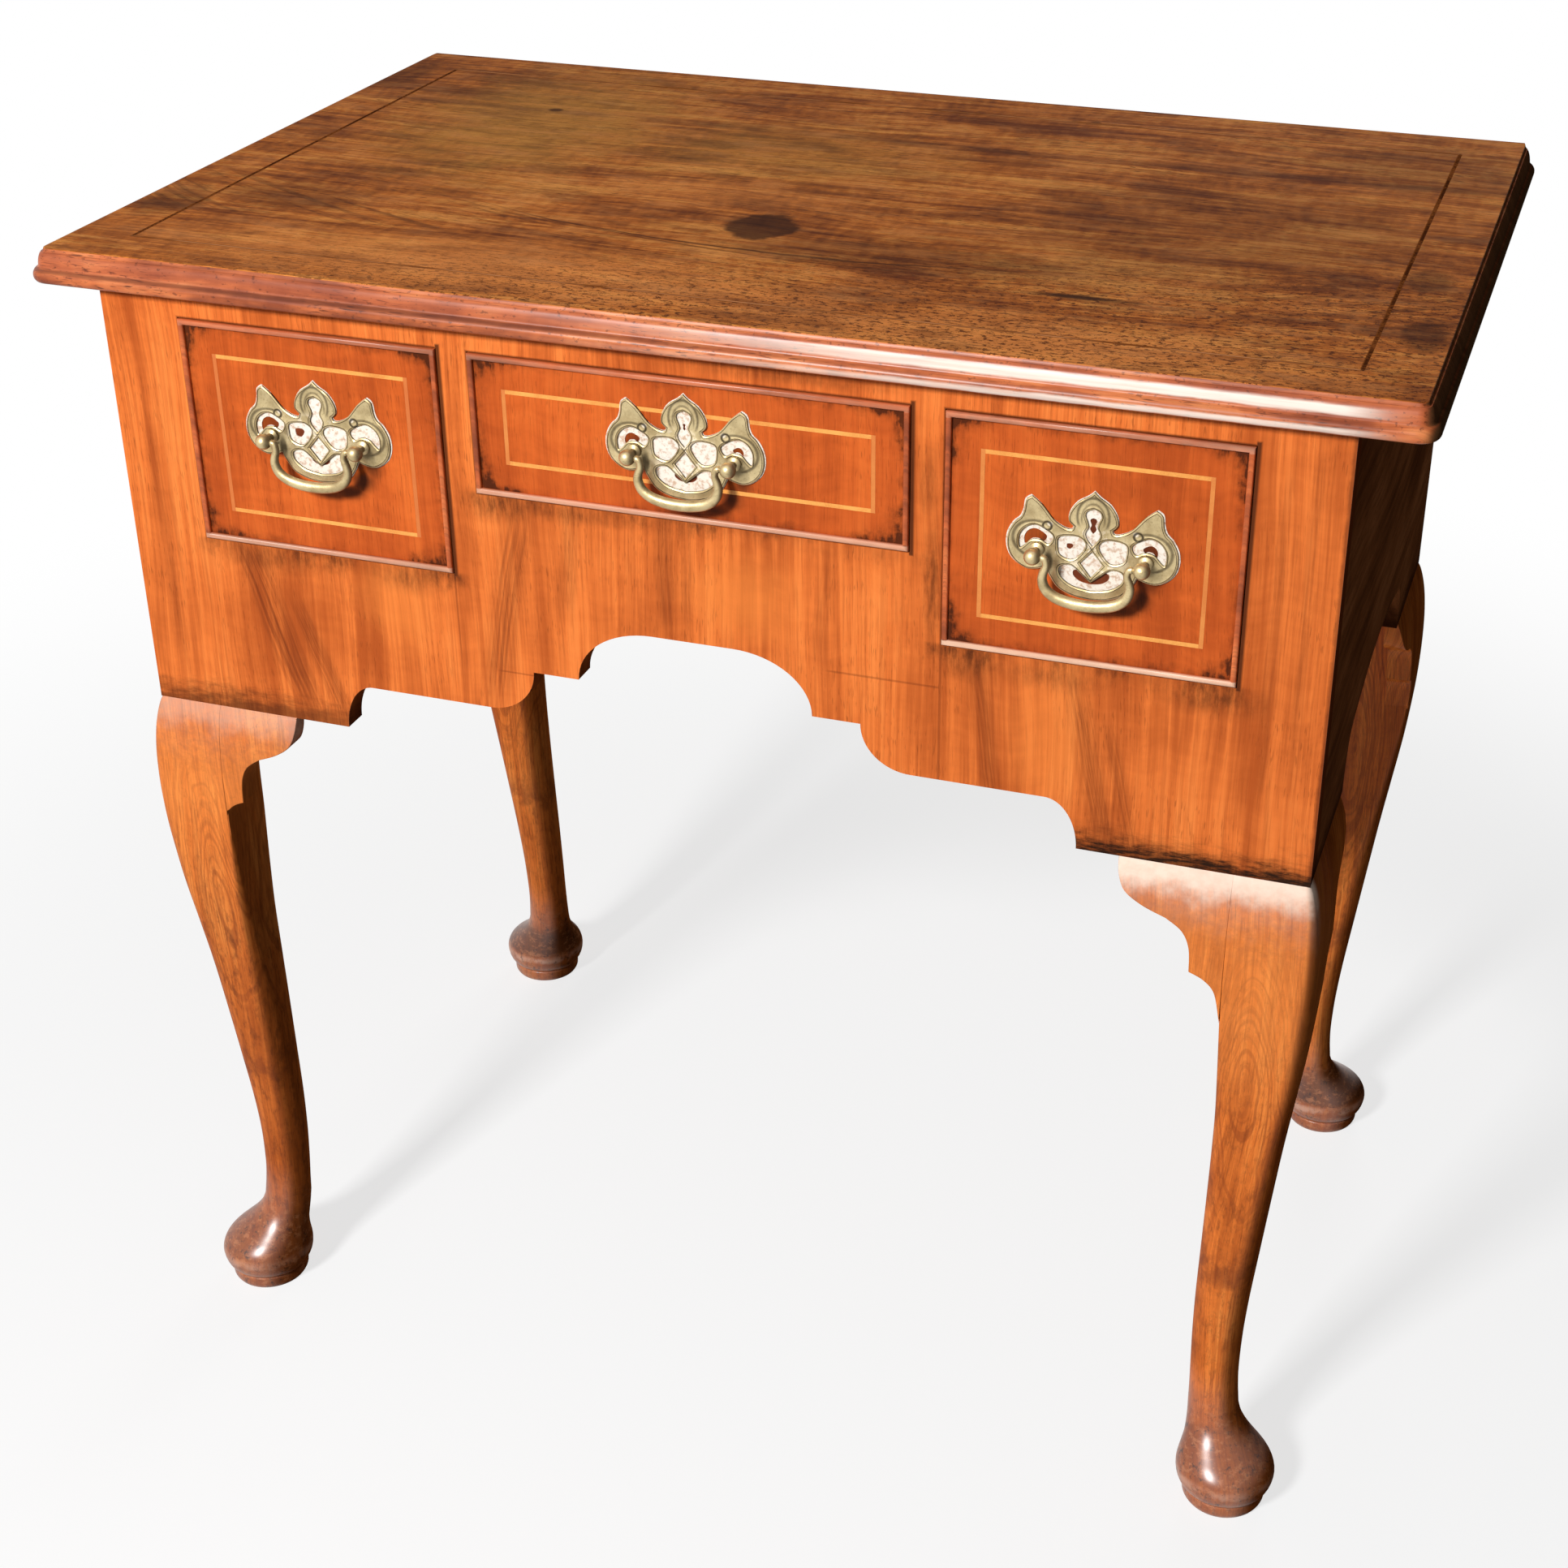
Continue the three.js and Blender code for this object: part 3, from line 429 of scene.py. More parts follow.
@dataclass(frozen=True)
class Frame:
    """An upright rectangle on the front, such as a drawer's."""

    left: float
    right: float
    bottom: float
    top: float

    @staticmethod
    def of_node(name: str) -> "Frame":
        """The rectangle that a node covers on the front."""
        low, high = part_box(name)
        return Frame(low[0] / MM, high[0] / MM, low[2] / MM, high[2] / MM)

    def outside(self, spot: Spot) -> Value:
        """Distance from the rectangle's edge, counted outwards."""
        aside = abs(spot.x - between(self.left, self.right)) - (self.right - self.left) / 2
        along = abs(spot.z - between(self.bottom, self.top)) - (self.top - self.bottom) / 2
        return aside.highest(along)

    def corner(self, spot: Spot) -> Value:
        """Distance to the nearest corner, counted along both edges together."""
        aside = (self.right - self.left) / 2 - abs(spot.x - between(self.left, self.right))
        along = (self.top - self.bottom) / 2 - abs(spot.z - between(self.bottom, self.top))
        return aside.highest(0.0) + along.highest(0.0)


@dataclass(frozen=True)
class Wood:
    """A board's colours and figure. Sizes are millimetres, and a lean figure wanders sideways."""

    name: str
    dark: Seen
    middle: Seen
    light: Seen
    grain: Grain
    seed: float
    band: float = 30.0
    wander: float = 13.0
    stretch: float = 1.0
    line: float = 1.9
    line_depth: float = 0.26
    thin_depth: float = 0.5
    pore_depth: float = 0.4
    stroke_depth: float = 0.3
    mottle: float = 0.12
    roughness: float = 0.42
    coat: float = 0.12
    coat_roughness: float = 0.22
    coat_ior: float = 1.5
    specular: float = 0.0

    def figure(self, spot: Spot) -> tuple[Paint, Value]:
        """The bare figure.

        Args:
            spot: The shaded point.

        Returns:
            The paint, and the grain's height from 0 to 1.
        """
        shader = spot.shader
        along, across, deep = self.grain.turned(spot)
        seed = self.seed
        drift = shader.noise(across * 0.009 + seed, along * 0.0035, deep * 0.009, 1.0) - 0.5
        ripple = shader.noise(across * 0.04, along * 0.01 + seed, deep * 0.04, 1.0) - 0.5
        course = across + drift * (self.wander * 2) + ripple * 2.5 + deep * 0.6
        run = along / self.stretch
        broad = shader.noise(course / self.band, run * (0.07 / self.band), seed, 3.0, 0.6)
        fine = shader.noise(course / self.line, run * 0.006, seed + 7, 2.0, 0.6)
        thin = shader.noise(course * (0.4 / self.line), run * 0.005, seed + 3, 3.0, 0.65)
        bars = shader.noise(across * 0.05 + seed, along * 0.16 + ripple * 3, deep * 0.05, 2.0)
        cloud = shader.noise(across * 0.014, along * 0.01 + seed, deep * 0.014, 2.0)
        ripples = (thin - 0.5) * self.thin_depth + (bars - 0.5) * self.mottle
        tone = broad * 0.7 + ripples + (cloud - 0.5) * 0.5 - 0.05
        stops = [(0.0, linear(self.dark)), (0.5, linear(self.middle)), (1.0, linear(self.light))]
        paint = Paint(shader.ramp(tone.rise(0.05, 0.6), stops))
        paint.lay(fine.rise(0.42, 0.66) * self.line_depth, self.dark)
        stroke = shader.noise(course * 0.8, along * 0.03, seed + 11, 3.0, 0.65).rise(0.5, 0.68)
        paint.lay(stroke * self.stroke_depth, self.dark, 0.7)
        pore = shader.noise(course * 1.15, along * 0.11, deep * 1.1, 1.0).rise(0.6, 0.72)
        pore = pore * shader.noise(across * 0.03, along * 0.02, seed + 5, 1.0).rise(0.35, 0.62)
        paint.lay(pore * self.pore_depth, self.dark, 0.35)
        return paint, 1 - (pore * 0.8 + fine * 0.2)

    def material(self, *layers: Layer, gloss: Optional[Callable[[Spot], Value]] = None) -> Material:
        """The finished wood.

        Args:
            layers: What lies over the figure, from the lowest up.
            gloss: Where the wax shines in full, from 0 to 1, or nothing for all over.

        Returns:
            The material.
        """
        shader = Shader.of_material(self.name)
        spot = shader.spot()
        paint, height = self.figure(spot)
        for layer in layers:
            layer(spot, paint)
        smear = spot.noise(0.02, 0.02, 0.02, 3.0)
        return shader.finish(
            Base_Color=paint.colour,
            Roughness=smear * 0.22 + (self.roughness - 0.11) + (1 - height) * 0.12,
            Specular_IOR_Level=self.specular,
            Coat_Weight=gloss(spot) * self.coat if gloss else self.coat,
            Coat_Roughness=self.coat_roughness,
            Coat_IOR=self.coat_ior,
            Normal=shader.bump(height, 0.00012, 0.35),
        )


@dataclass(frozen=True)
class DirtAndPaintedShade:
    """Old wax and dirt that gathers in corners and along edges, and painted shade in gaps and on sawn edges.
    """

    colour: Seen = (52, 24, 12)
    reach: float = 9.0
    corner_reach: float = 40.0

    def inside(self, frames: Sequence[Frame]) -> Layer:
        """A layer of dirt along the inner edge of each frame, most of all in its corners, with a painted
        shadow line just inside the edge.
        """
        def layer(spot: Spot, paint: Paint) -> None:
            """Lays the dirt and the painted shadow line over a colour."""
            rough = spot.noise(0.14, 0.2, 0.14, 4.0, 0.6)
            brushed = spot.noise(0.4, 1, 0.1, 4.0, 0.65).rise(0.3, 0.68) * 0.65 + 0.35
            patch = spot.shader.noise(spot.x * 0.025, spot.y * 0.02, spot.z * 0.03 + 4, 2.0)
            for one in frames:
                inward = one.outside(spot) * -1
                # Painted shadow: a thin dark line just inside the frame's edge, where the bead's shadow
                # falls.
                line = inward.fall(0.2, 1.6) * 0.6
                edge = (inward + (rough - 0.5) * 12).fall(-1.0, self.reach) * patch.rise(0.32, 0.54)
                corner = (one.corner(spot) + (rough - 0.5) * 24).fall(-4.0, self.corner_reach)
                near = (inward + (rough - 0.5) * 14).fall(-1.0, 16.0)
                shade = (edge * 0.95 + corner * near * 2.2) * brushed
                shade = shade.highest(line).lowest(0.9) * inward.rise(-6, -3.5)
                paint.lay(shade, self.colour)

        return layer

    def around(self, frames: Sequence[Frame], smudges: Sequence[Stain]) -> Layer:
        """A layer with painted shade in the gap just outside each frame and along its right side, darker wood
        below it, and hand smudges.
        """
        def layer(spot: Spot, paint: Paint) -> None:
            """Lays the painted shade, the darker wood and the smudges over a colour."""
            rough = spot.noise(0.2, 0.2, 0.12, 5.0, 0.72)
            brushed = spot.noise(0.45, 1, 0.1, 4.0, 0.7).rise(0.3, 0.65) * 0.6 + 0.4
            patch = spot.shader.noise(spot.x * 0.03, spot.y * 0.02, spot.z * 0.03 + 9, 2.0).rise(0.4, 0.62)
            for one in frames:
                out = one.outside(spot)
                under = (one.bottom + 1 - spot.z).rise(0, 3)
                # Painted shade: a dark line in the gap round each frame, wider along its right side.
                beside = (spot.x - one.right).rise(-0.5, 0.5) * out.fall(1.8, 3.4) * 0.85
                line = out.fall(0.6, 1.8) * 0.7
                low = (out + (rough - 0.5) * 18).fall(-2.0, 14.0) * under * brushed * (patch * 0.6 + 0.25)
                paint.lay(line.highest(low).highest(beside), self.colour)
            waver = (rough - 0.5) * 0.5
            touched = strongest(one.mask(spot.x, spot.z, waver) for one in smudges)
            paint.lay(touched * brushed, self.colour)

        return layer

    def thickness(self, spot: Spot, paint: Paint) -> None:
        """Paints shade on the sawn edges of the front's boards, behind their faces."""
        paint.lay(spot.y.rise(CASE_FRONT + 0.1, CASE_FRONT + 1.0) * 0.75, self.colour)

    def low_edge(self, start: float) -> Layer:
        """A layer of dirt along the case's lower edge, heavier and chipped to the right of start."""
        def layer(spot: Spot, paint: Paint) -> None:
            """Lays the dirt over a colour."""
            rough = spot.noise(0.05, 0.05, 0.16, 5.0, 0.72)
            rise = spot.z - CASE_BOTTOM + (rough - 0.5) * 34
            dirt = rise.fall(0.0, 20.0) * (abs(spot.x).rise(150, 300) * 0.4 + 0.35)
            smear = spot.shader.noise(spot.x * 0.07, 2.0, spot.z * 0.5, 4.0, 0.7).rise(0.4, 0.56)
            ragged = (spot.z - CASE_BOTTOM + (rough - 0.5) * 26).fall(3.0, 11.0)
            worn = ragged * spot.x.rise(start, start + 60)
            paint.lay(dirt, self.colour)
            paint.lay(worn * (smear * 0.6 + 0.35), (34, 20, 11))

        return layer


def streaked(flames: Sequence[Flame], colour: Seen) -> Layer:
    """A layer that draws dark flames into the figure.

    Args:
        flames: The flames.
        colour: Their colour at full depth.

    Returns:
        The layer.
    """
    def layer(spot: Spot, paint: Paint) -> None:
        """Lays the flames over a colour."""
        waver = (spot.shader.noise(spot.x * 0.02, 0.0, spot.z * 0.012, 2.0) - 0.5) * 8
        paint.lay(strongest(one.mask(spot, waver) for one in flames), colour)

    return layer


def toned(stains: Sequence[Stain], colour: Seen, upright: bool = False) -> Layer:
    """A layer of soft-edged marks.

    Args:
        stains: The marks.
        colour: Their colour at full depth.
        upright: True if they lie on the front instead of on the top.

    Returns:
        The layer.
    """
    def layer(spot: Spot, paint: Paint) -> None:
        """Lays the marks over a colour."""
        second = spot.z if upright else spot.y
        waver = (spot.noise(0.03, 0.03, 0.03, 4.0, 0.65) - 0.5) * 0.9
        paint.lay(strongest(one.mask(spot.x, second, waver) for one in stains), colour)

    return layer


# Finishes

FRONT_WALNUT = Wood(
    "front_walnut", (180, 84, 34), (230, 120, 54), (247, 140, 68), Grain.UPRIGHT, seed=2.3, band=22.0,
    line_depth=0.38,
)
DRAWER_WALNUT = Wood(
    "drawer_walnut", (172, 74, 28), (212, 99, 40), (232, 117, 50), Grain.UPRIGHT, seed=9.1, band=40.0,
    line_depth=0.16, thin_depth=0.35, mottle=0.2,
)
BEAD_WALNUT = Wood(
    "cockbead_walnut", (128, 56, 22), (196, 94, 44), (228, 124, 66), Grain.ACROSS, seed=4.4, band=14.0,
    coat=0.8, coat_roughness=0.3,
)
TOP_WALNUT = Wood(
    "top_walnut", (122, 58, 22), (208, 117, 46), (248, 164, 80), Grain.ACROSS, seed=6.6, band=15.0,
    wander=20.0, stretch=0.55, line=1.5, line_depth=0.26, thin_depth=0.55, pore_depth=0.85, stroke_depth=0.35,
    mottle=0.3, roughness=0.5, coat=0.06,
)
MOULDING_WALNUT = Wood(
    "moulding_walnut", (134, 62, 34), (204, 110, 62), (232, 144, 88), Grain.ACROSS, seed=1.2, band=12.0,
    stretch=0.3, pore_depth=0.85, roughness=0.4, coat=0.6, coat_roughness=0.32,
)
LEG_WALNUT = Wood(
    "leg_walnut", (184, 88, 28), (236, 126, 50), (254, 152, 70), Grain.UPRIGHT, seed=3.8, band=18.0,
    stretch=0.8, line_depth=0.4, stroke_depth=0.6, coat=1.0, coat_roughness=0.3, coat_ior=1.7,
)
# Painted shade: the right side gets a darker walnut than the left side, as it stands in shade.
SHADED_SIDE_WALNUT = Wood(
    "shaded_side_walnut", (84, 46, 24), (120, 70, 38), (148, 92, 54), Grain.DEEP, seed=5.2, coat=0.0,
)
LEFT_SIDE_WALNUT = Wood(
    "left_side_walnut", (150, 72, 26), (216, 114, 50), (238, 136, 66), Grain.DEEP, seed=5.2, coat=0.0,
)
OAK_DEEP = Wood(
    "oak_front_to_back", (126, 82, 46), (176, 126, 80), (204, 158, 108), Grain.DEEP, seed=8.0, wander=14.0,
    roughness=0.7, coat=0.0, specular=0.2,
)
OAK_ACROSS = Wood(
    "oak_side_to_side", (124, 80, 44), (172, 122, 76), (200, 152, 102), Grain.ACROSS, seed=8.7, wander=14.0,
    roughness=0.7, coat=0.0, specular=0.2,
)


@dataclass(frozen=True)
class Boxwood:
    """Pale stringing, gone yellow under the wax."""

    name: str = "boxwood_string"
    light: Seen = (246, 170, 82)
    dark: Seen = (222, 138, 58)
    lost: Seen = (206, 106, 42)
    width: float = 2.4

    def material(self, frames: Sequence[Frame], worn: Sequence[float]) -> Material:
        """The drawers' strings.

        Args:
            frames: Each drawer's string, as a rectangle.
            worn: How far its upright parts have sunk into the colour of the walnut.

        Returns:
            The finish.
        """
        shader = Shader.of_material(self.name)
        spot = shader.spot()
        cloud = spot.noise(0.06, 1, 0.06, 3.0, 0.6)
        fine = spot.noise(1.4, 1, 1.4, 2.0)
        paint = Paint(shader.blend((cloud * 0.8 + fine * 0.3).rise(0.4, 0.75), self.light, self.dark))
        for one, share in zip(frames, worn):
            half = (one.right - one.left) / 2
            aside = abs(spot.x - between(one.left, one.right))
            inner = half - self.width
            upright = aside.band(inner - 0.2, inner + 0.2, half + 1, half + 2)
            paint.lay(upright * (cloud * 0.4 + 0.8) * share, self.lost)
        return shader.finish(
            Base_Color=paint.colour,
            Roughness=fine * 0.15 + 0.34,
            Normal=shader.bump(fine, 0.00005, 0.3),
        )


@dataclass(frozen=True)
class Brass:
    """Pale cast brass, dark where a cloth doesn't reach, or else with painted shade on the sides that face
    away.
    """

    name: str
    light: Seen = (216, 195, 148)
    dark: Seen = (140, 115, 72)
    patina_and_shade: Seen = (38, 27, 15)
    old_polish: Seen = (240, 226, 204)
    dirt: float = 0.0
    unit: float = 44.8

    def engraving(self, spot: Spot, middles: Sequence[Share]) -> tuple[Value, Value]:
        """The plates' engraved lines, painted shadows of the bail and the posts, and the polish that has
        dried in their curls.

        Args:
            spot: The shaded point.
            middles: Each plate's middle on the front, from left to right, in millimetres.

        Returns:
            The shares of the lines with the painted shadows, and of the polish.
        """
        (x, z), *others = middles
        aside, rise = spot.x - x, spot.z - z
        for next_x, next_z in others:
            step = spot.x.past(between(x, next_x))
            aside, rise = aside - step * (next_x - x), rise - step * (next_z - z)
            x, z = next_x, next_z
        signed, v = aside / self.unit, rise / self.unit
        u = abs(signed)

        def away(centre: Share, halves: Share, side: Any = u) -> Value:
            """Distance from an oval's middle, where 1 is its rim."""
            across, along = (side - centre[0]) / halves[0], (v - centre[1]) / halves[1]
            return (across * across + along * along) ** 0.5

        dome = abs(away((0, 0.47), (0.185, 0.235)) - 1).fall(0.02, 0.14) * v.rise(0.3, 0.4)
        inner_dome = abs(away((0, 0.44), (0.135, 0.19)) - 1).fall(0.02, 0.14) * v.rise(0.34, 0.44)
        lobe = abs(away((0.66, 0.12), (0.27, 0.225)) - 1).fall(0.02, 0.13) * u.rise(0.48, 0.58)
        curl = abs(away((0.53, 0.3), (0.05, 0.05)) - 1).fall(0.1, 0.5)
        strap = abs(abs(v + 0.11) + u * 0.84 - 0.235).fall(0.006, 0.025)
        strap = strap * u.fall(0.2, 0.24) * v.fall(-0.14, -0.08) * 0.8
        lines = (dome * 0.75).highest(inner_dome * 0.6).highest(lobe * 0.75).highest(curl).highest(strap)
        # Painted shadows on the plate: left of the bail's left arm and below the right post.
        left = away((-0.5, -0.14), (0.06, 0.17), signed).fall(0.5, 1.2) * 0.85
        right = away((0.66, -0.08), (0.12, 0.1), signed).fall(0.4, 1.2) * 0.7
        lines = lines.highest(left).highest(right)
        dabs = spot.noise(0.22, 1, 0.22, 4.0, 0.6).rise(0.5, 0.6)
        polish = away((0.275, 0.325), (0.05, 0.04)).fall(0.6, 1.2)
        polish = polish.highest(away((0.5, 0.33), (0.035, 0.03)).fall(0.6, 1.2))
        polish = polish.highest(away((0, 0.02), (0.48, 0.36)).fall(0.6, 1.1) * dabs * 0.7)
        return lines, polish

    def material(self, middles: Sequence[Share] = ()) -> Material:
        """The brass, with its dirt where it has any, and painted shade where it has none.

        Args:
            middles: The middles of the plates that are to be engraved, from left to right.

        Returns:
            The material.
        """
        shader = Shader.of_material(self.name)
        spot = shader.spot()
        cloud = spot.noise(0.09, 0.09, 0.09, 4.0, 0.6)
        fine = spot.noise(0.8, 0.8, 0.8, 3.0, 0.6)
        paint = Paint(shader.blend(cloud.rise(0.35, 0.7) * 0.55, self.light, self.dark))
        paint.lay(fine.rise(0.52, 0.75) * 0.5, self.dark)
        rough: Any = fine * 0.2 + 0.3
        height = fine
        if self.dirt:
            caked = (cloud * 0.7 + self.dirt - 0.35).lowest(1.0)
            paint.lay(caked, self.patina_and_shade)
            rough = caked * 0.35 + rough
        else:
            # Painted shade on the sides that face away from the window.
            turned = spot.shade().rise(0.15, 0.8)
            paint.lay(turned * 0.75, self.patina_and_shade)
            rough = turned * 0.2 + rough
        if middles:
            lines, polish = self.engraving(spot, middles)
            paint.lay(polish, self.old_polish)
            paint.lay(lines * 0.9, self.patina_and_shade)
            rough = lines.highest(polish) * 0.3 + rough
            height = fine * 0.4 - lines
        return shader.finish(
            Base_Color=paint.colour,
            Metallic=0.85,
            Roughness=rough,
            Normal=shader.bump(height, 0.0002, 0.5),
        )


@dataclass(frozen=True)
class Residue:
    """Dried polish, left in the plate's openings over the years."""

    name: str = "polish_residue"
    light: Seen = (246, 236, 222)
    dark: Seen = (208, 176, 150)

    def material(self) -> Material:
        """The residue."""
        shader = Shader.of_material(self.name)
        spot = shader.spot()
        cloud = spot.noise(0.35, 1, 0.35, 4.0, 0.65)
        return shader.finish(
            Base_Color=shader.blend(cloud.rise(0.46, 0.66), self.light, self.dark),
            Roughness=cloud * 0.2 + 0.6,
            Normal=shader.bump(cloud, 0.0004, 0.6),
        )


# Mesh helpers


def through(rows: Sequence[Sequence[float]], steps: int) -> list[list[float]]:
    """Points on a smooth curve through rows of numbers.

    Args:
        rows: The numbers at each row.
        steps: How many points each span between two rows gets.

    Returns:
        The finer rows, which end at the last given one.
    """
    def bent(before: float, start: float, end: float, after: float, share: float) -> float:
        """One number part of the way along a span."""
        slope = (end - before) / 2
        last_slope = (after - start) / 2
        square = share * share
        cube = square * share
        return (
            (2 * cube - 3 * square + 1) * start
            + (cube - 2 * square + share) * slope
            + (3 * square - 2 * cube) * end
            + (cube - square) * last_slope
        )

    finer = []
    for k in range(len(rows) - 1):
        before = rows[max(k - 1, 0)]
        after = rows[min(k + 2, len(rows) - 1)]
        for i in range(steps):
            share = i / steps
            finer.append([bent(*four, share) for four in zip(before, rows[k], rows[k + 1], after)])
    finer.append(list(rows[-1]))
    return finer


def draw_out(bm: BMesh, rows: Sequence[Sequence[Place]], capped: bool = True) -> None:
    """Draws a ring of edges out through rows of places, as a skin.

    Args:
        bm: The mesh.
        rows: For each stage, each vertex's place in millimetres.
        capped: True if both ends are closed with a face.
    """
    def closed_ring() -> list[BMEdge]:
        """The edges between the ring's vertices."""
        return [bm.edges.get((vert, ring[(k + 1) % len(ring)])) for k, vert in enumerate(ring)]

    def place_ring(row: Sequence[Place]) -> None:
        """Moves the ring's vertices to their places."""
        for vert, place in zip(ring, row):
            vert.co = Vector(place) * MM

    ring = bmesh.ops.create_circle(bm, segments=len(rows[0]), radius=1.0)["verts"]
    place_ring(rows[0])
    first = edges = closed_ring()
    for row in rows[1:]:
        made = bmesh.ops.extrude_edge_only(bm, edges=edges)["geom"]
        fresh = {item for item in made if isinstance(item, BMVert)}
        ring = [next(e.other_vert(v) for e in v.link_edges if e.other_vert(v) in fresh) for v in ring]
        place_ring(row)
        edges = closed_ring()
    if capped:
        bmesh.ops.edgeloop_fill(bm, edges=first)
        bmesh.ops.edgeloop_fill(bm, edges=edges)


def push_out(bm: BMesh, faces: Sequence[BMFace], shift: Place, keep: bool = False) -> None:
    """Extrudes faces and moves the new ones.

    Args:
        bm: The mesh.
        faces: The faces.
        shift: How far the new ones move, in the mesh's own unit.
        keep: True if the first faces stay, so that the body is closed.
    """
    made = bmesh.ops.extrude_face_region(bm, geom=faces, use_keep_orig=keep)["geom"]
    verts = [item for item in made if isinstance(item, BMVert)]
    bmesh.ops.translate(bm, vec=shift, verts=verts)


def add_block(bm: BMesh, low: Place, high: Place) -> None:
    """Adds a block between two corners, in millimetres."""
    made = bmesh.ops.create_cube(bm, size=1.0)["verts"]
    size = (Vector(high) - Vector(low)) * MM
    bmesh.ops.scale(bm, vec=size, verts=made)
    bmesh.ops.translate(bm, vec=(Vector(high) + Vector(low)) * MM / 2, verts=made)


def soften(bm: BMesh, angle: float = SMOOTH_ANGLE) -> None:
    """Shades faces as smooth, but keeps edges sharp that turn by more than an angle in degrees."""
    bmesh.ops.remove_doubles(bm, verts=bm.verts, dist=1e-6)
    bmesh.ops.recalc_face_normals(bm, faces=bm.faces)
    limit = math.radians(angle)
    for face in bm.faces:
        face.smooth = True
    for edge in bm.edges:
        edge.smooth = len(edge.link_faces) == 2 and edge.calc_face_angle(0.0) < limit


def make_piece(
    name: str,
    bm: BMesh,
    body: str,
    materials: Sequence[Material],
    nodes: Sequence[str] = (),
    angle: float = SMOOTH_ANGLE,
) -> Object:
    """Turns a mesh into a named piece that rides on a body.

    Args:
        name: The piece's name.
        bm: Its mesh, in metres in the table's frame.
        body: The CAD body that carries it.
        materials: Its materials in order of face index.
        nodes: The CAD nodes that it stands for.
        angle: How sharp an edge may be and still be shaded smooth, in degrees.

    Returns:
        The piece.
    """
    soften(bm, angle)
    bm.normal_update()
    shade = bm.loops.layers.float.new(SHADE)
    for face in bm.faces:
        for loop in face.loops:
            near = [other.normal.x for other in loop.vert.link_faces if other.normal.dot(face.normal) > 0.6]
            loop[shade] = max(sum(near) / max(len(near), 1), 0.0)
    mesh = bpy.data.meshes.new(name)
    bm.to_mesh(mesh)
    bm.free()
    for material in materials:
        mesh.materials.append(material)
    piece = bpy.data.objects.new(name, mesh)
    bpy.context.scene.collection.objects.link(piece)
    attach(piece, body)
    if nodes:
        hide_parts(*nodes)
    log.info("%s: %d faces on %s", name, len(mesh.polygons), body)
    return piece


def dress(node: str, material: Material) -> None:
    """Gives a CAD node its finish."""
    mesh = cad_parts[node].data
    mesh.materials.clear()
    mesh.materials.append(material)
    log.info("%s: %s", node, material.name)


class Side(Enum):
    """Left or right of the table, as seen from its front."""

    LEFT = -1
    RIGHT = 1


class End(Enum):
    """Front or back of the table."""

    FRONT = "front"
    BACK = "back"


# The top


